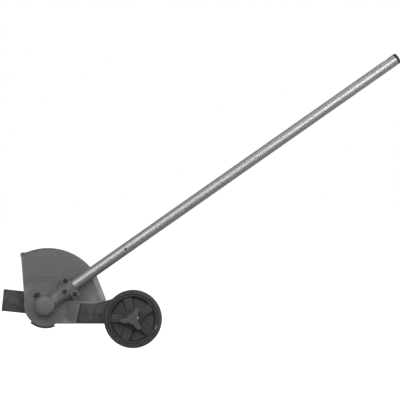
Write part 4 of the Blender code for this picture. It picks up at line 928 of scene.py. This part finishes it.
def build_bracket():
    face = [(24, 54.0), (70.0, 54.0), (80.3, 100.1), (24, 100.1)]
    bracket = Solid(plate(face, BRACKET_FRONT, BRACKET_BACK), GROUND_PLACE)
    bracket.soften(1.2, 4)
    bracket.cut(box((57.4, ARM_FRONT - 0.3, 40), (100, BRACKET_BACK + 5, 120)))
    tongue = [(40, 56), (130, 62), (135, 67), (135, 87), (130, 91), (84, 97), (81, 101), (81, 119)]
    tongue += [(78, 122), (56, 122), (53, 119), (53, 99), (40, 89)]
    bracket.join(plate(tongue, ARM_BACK + 0.3, BRACKET_BACK))
    pad = [(53, 102.4), (81, 102.4), (81, 119), (78, 122), (56, 122), (53, 119)]
    bracket.join(plate(pad, GUARD_FRONT + GUARD_WALL + 0.3, BRACKET_BACK - 1))
    bracket.cut(cylinder(FLANGE_R + 0.1, 0, 60, segments=160), moved(z=AXIS_Z))
    low, high = VENT_Z
    for x in VENT_X:
        vent = [(x, low), (x + VENT_WIDTH, low), (x + VENT_WIDTH, high), (x, high)]
        bracket.cut(plate(vent, 14.5, 18.0))
    for x, z in ARM_BOLTS.values():
        bracket.cut(cylinder(ARM_BOLT_HOLE_R, 20, 50, segments=32), moved(x, 0, z))
    for x, z in BRACKET_SCREWS.values():
        bracket.cut(cylinder(BRACKET_SCREW_HOLE_R, 26, 50, segments=32), moved(x, 0, z))
    finish(bracket, "arm_bracket", "edger_frame", 30)
    head = (BRACKET_BACK + 0.3, BRACKET_BACK + 2.8)
    for name, (x, z) in BRACKET_SCREWS.items():
        spot = GROUND_PLACE @ moved(x, 0, z)
        rear_screw("bracket_screw_" + name, "edger_frame", spot, head_r=3.6, head=head, shank_r=2.0,
                   tip=24.3)


def build_arm():
    run = [(58, 54), (100, 53.7), (138, 53.7), (160, 49), (182, 46.5), (222, 47), (231, 56)]
    run += [(231, 112), (222, 121), (183, 120), (149, 110), (116, 100.1), (58, 100.1)]
    arm = Solid(plate(rounded(run, 2.5), ARM_FRONT, ARM_BACK), GROUND_PLACE)
    arm.soften(0.7, 3)
    arm.cut(plate(slot_outline(WHEEL_X, WHEEL_R, WHEEL_R + DEPTH_TRAVEL, SLOT_HALF), 20, 40))
    for name, (x, z) in ARM_BOLTS.items():
        arm.cut(cylinder(ARM_BOLT_HOLE_R, 20, HOLE_PAST, segments=32), moved(x, 0, z))
        spot = GROUND_PLACE @ moved(x, 0, z)
        cap_screw("arm_bolt_" + name, "edger_frame", spot, head_r=4.4, head=(21.7, 24.3), shank_r=2.4,
                  tip=37.2, flats=3.0, look=ARM_BOLT_HIGHLIGHT_LOOK)
        hex_nut("arm_nut_" + name, "edger_frame", spot, flats=8.0, front=33.8, back=36.8,
                bore_r=ARM_BOLT_HOLE_R)
    finish(arm, "wheel_arm", "edger_frame", 30)


def slot_outline(x, low, high, radius):
    return arc((x, high), radius, 0, math.pi, 24) + arc((x, low), radius, math.pi, math.tau, 24)


# ---------- blade ----------

def build_blade():
    half_length, half_width = BLADE_HALF
    outline = [(-half_length, -half_width), (half_length, -half_width), (half_length, half_width)]
    outline += [(-half_length, half_width)]
    blade = Solid(plate(outline, BLADE_FRONT, BLADE_BACK), HUB_PLACE @ moved(turn_y=BLADE_TILT))
    blade.soften(0.9, 1)
    blade.cut(cylinder(10.3, 30, 50, segments=96))
    finish(blade, "edger_blade", "blade_rotor", 30)

    flange = [(5.3, 27.8), (5.6, 27.5), (11.5, 27.5), (12, 28), (12, 33.0), (13, 34.0), (33.8, 34.0)]
    flange += fillet((33.8, 35.2), 1.2, -90, 0, 5)
    flange += [(35, 38.5), (10, 38.5), (10, 41.0), (9.7, 41.3), (5.3, 41.3)]
    flange = Solid(turned(flange, "Y", 128), HUB_PLACE)
    lock_r = math.hypot(LOCK_X, LOCK_Z)
    lock_angle = math.degrees(math.atan2(LOCK_Z, LOCK_X))
    for quarter in range(4):
        x, z = polar(lock_r, lock_angle + 90 * quarter)
        flange.cut(cylinder(LOCK_HOLE_R, 30, 45, segments=32), moved(x, 0, z))
    finish(flange, "inner_flange", "blade_rotor")

    cup = [(5.3, 43.3), (17.5, 43.3), (18.6, 43.1), (20.6, 42.3), (21.4, 42.1), (24.6, 42.1), (25, 42.5)]
    cup += [(25, 43.3), (24.6, 43.7), (21.8, 44.9), (19.6, 45.9), (18.6, 46.1), (5.3, 46.1)]
    finish(Solid(turned(cup, "Y", 128), HUB_PLACE), "blade_cup_washer", "blade_rotor")
    hex_nut("blade_nut", "blade_rotor", HUB_PLACE, flats=17.0, front=46.4, back=54.4, bore_r=5.3)


# ---------- wheel ----------

def soft_min(first, second, reach=0.8):
    near = max(reach - abs(first - second), 0) / reach
    return min(first, second) - near * near * reach / 4


def wheel_columns(radius):
    """Angles and spoke heights round the wheel. They follow the spokes' sides and share out each gap."""
    radius = max(radius, 25.0)
    half_share = math.pi / len(SPOKE_ANGLES)
    half = [(math.asin(across / radius), height) for across, height in SPOKE_SECTION]
    last = half[-1][0]
    gap = [(last + (half_share - last) * step / GAP_COLUMNS, SPOKE_SECTION[-1][1])
           for step in range(1, GAP_COLUMNS)]
    rising = half + gap
    falling = [(-angle, height) for angle, height in reversed(rising[1:])]
    columns = []
    for spoke in SPOKE_ANGLES:
        middle = math.radians(spoke)
        columns += [(middle - angle, height) for angle, height in falling + rising]
        columns.append((middle - half_share, SPOKE_SECTION[-1][1]))
    return columns


def build_wheel():
    front = [(10, 4.0), (10, -25.6), (10.4, -26), (13.2, -26), (13.9, -25.6), (14.2, -25.0)]
    front += [(14.6, -21.4), (14.9, -20.6), (15.6, -20.1), (16.8, -20.0), (17.2, -19.5), (18.0, -19.5)]
    front += [(18.4, -20.0), (20.4, -20.0), (20.8, -19.5), (21.4, -19.5), (21.8, -20.0), (22.6, -20.0)]
    front += [(23.5, -19.6), (23.9, -18.8), (24.1, -17.0), (24.3, -14.0), (24.5, -11.0), (24.8, -9.4)]
    front += [(25.6, -8.4), (27.0, -8.0), (32, -8.0), (38, -8.0), (43, -8.0), (46.6, -8.0), (48.2, -8.5)]
    front += [(49.2, -9.6), (49.7, -12.0), (50.3, -15.0), (50.8, -18.0), (51.1, -20.4), (51.5, -21.4)]
    front += [(52.4, -22.1), (53.4, -22.7), (54.6, -22.8), (55.5, -22.4), (56, -21.6)]
    back = [(56, 9.2), (55.2, 10), (51.6, 10), (50.6, 9.2), (49.6, 4.0), (48.6, 1.2), (47.2, 0.2), (45, 0)]
    back += [(20, 0), (17.8, 0.6), (16.8, 2.0), (15.2, 11.8), (14.4, 12.6), (10.6, 12.6), (10, 12.0)]
    shape = bmesh.new()
    rings = []
    for index, (radius, height) in enumerate(front + back):
        ring = []
        for angle, spoke in wheel_columns(radius if index < len(front) else RIM_EDGE_R):
            on_web = WEB_REACH[0] < radius < WEB_REACH[1] and index < len(front)
            depth = soft_min(height, spoke) if on_web else height
            ring.append(shape.verts.new([v * MM for v in on_axis("Y", radius, angle, depth)]))
        rings.append(ring)
    for index, ring in enumerate(rings):
        skin(shape, ring, rings[(index + 1) % len(rings)])
    finish(Solid(finish_mesh(shape), WHEEL_PLACE), "wheel_rim", "wheel", 35)

    section = [(56.3, -21.6), (56.6, -22.4), (57.6, -23.0), (58.6, -23.9), (59.6, -24.0), (60.4, -23.6)]
    section += [(61.2, -23.4), (61.9, -23.6), (62.6, -23.5), (63.6, -23.0), (64.6, -22.2), (65.4, -21.0)]
    section += [(66.0, -19.5), (66.4, -17.6), (66.5, -15.5), (66.5, -6.9), (66.1, -6.5), (66.1, -5.5)]
    section += [(66.5, -5.1), (66.5, 3.5), (66.4, 5.6), (66.0, 7.5), (65.4, 9.0), (64.6, 10.2)]
    section += [(63.6, 11.0), (62.6, 11.5), (60.4, 11.8), (59.6, 12.0), (58.6, 11.9), (57.6, 11.0)]
    section += [(56.6, 10.4), (56.3, 9.6)]
    finish(Solid(turned(section, "Y", 192), WHEEL_PLACE), "tyre", "wheel", 50)

    bush = [(7.8, -27.6), (12.2, -27.6), (12.5, -27.3), (12.5, -26.3), (9.7, -26.3), (9.7, -16), (7.8, -16)]
    finish(Solid(turned(bush, "Y"), WHEEL_PLACE), "wheel_bush_front", "wheel")
    bush = [(7.8, 3), (9.7, 3), (9.7, 12.9), (12.5, 12.9), (12.5, 13.8), (12.2, 14.1), (7.8, 14.1)]
    finish(Solid(turned(bush, "Y"), WHEEL_PLACE), "wheel_bush_rear", "wheel")


def build_axle():
    bolt = Solid(turned([(0, 29.9), (9, 29.9), (9, 34.5), (8, 35.5), (0, 35.5)], "Y", 6), WHEEL_PLACE)
    crown = turned([(0, 29), (9.2, 29), (9.2, 34.0), (7.3, 35.6), (0, 35.6)], "Y", 72)
    bolt.combine("INTERSECT", crown, moved())
    bolt.join(turned([(0, -42), (4.4, -42), (5, -41.4), (5, 32), (0, 32)], "Y", 64))
    finish(bolt, "axle_bolt", "wheel_carriage", 30)
    sleeve = [(5.3, -29.7), (7.2, -29.7), (7.5, -29.4), (7.5, 14.4), (10.6, 14.4), (11, 14.8), (11, 23.9)]
    sleeve += [(10.6, 24.3), (5.3, 24.3)]
    finish(Solid(turned(sleeve, "Y"), WHEEL_PLACE), "axle_sleeve", "wheel_carriage")
    for node, bore, front, back in (("hub_washer", 7.8, -29.4, -27.9), ("clamp_washer", 5.3, -31.6, -30.0)):
        ring = [(bore, front + 0.2), (bore + 0.2, front), (12.7, front), (13, front + 0.3), (13, back - 0.3)]
        ring += [(12.7, back), (bore, back)]
        finish(Solid(turned(ring, "Y"), WHEEL_PLACE), node, "wheel_carriage")


def knob_outline(inset):
    points = []
    for step in range(KNOB_POINTS):
        angle = math.tau * step / KNOB_POINTS
        lobe = ((1 + math.cos(KNOB_LOBES * (angle - KNOB_ANGLE))) / 2) ** 3
        radius = KNOB_CORE_R + KNOB_LOBE * lobe - inset
        points.append((radius * math.cos(angle), radius * math.sin(angle)))
    return points


def build_knob():
    front, back = KNOB_Y
    near_r, far_r = KNOB_ROUND
    layers = []
    for turn in (0, 0.25, 0.5, 0.75, 1.0, 1.25, math.pi / 2):
        layers.append((front + near_r * (1 - math.cos(turn)), knob_outline(near_r * (1 - math.sin(turn)))))
    for turn in (0, 0.5, 1.0, math.pi / 2):
        layers.append((back + far_r * math.sin(turn), knob_outline(far_r * (1 - math.cos(turn)))))
    knob = Solid(layered(layers), WHEEL_PLACE)
    knob.join(turned([(0, -40), (12.5, -40), (12.5, -32.3), (12.1, -31.9), (0, -31.9)], "Y"))
    knob.cut(turned([(0, -44), (8.3, -44), (8.3, -29.9), (0, -29.9)], "Y", 6))
    dimple = [(0, -48), (4.4, -48), (4.4, -46.4), (3.6, -45.6), (2.6, -45.0), (0, -45.0)]
    knob.cut(turned(dimple, "Y", 48))
    finish(knob, "depth_knob", "knob", 35, KNOB_LOOK)


dress_cad_nodes()
build_studio()
build_tube()
build_gear_case()
build_clamp()
build_lock()
build_guard()
build_shoe()
build_bracket()
build_arm()
build_blade()
build_wheel()
build_axle()
build_knob()
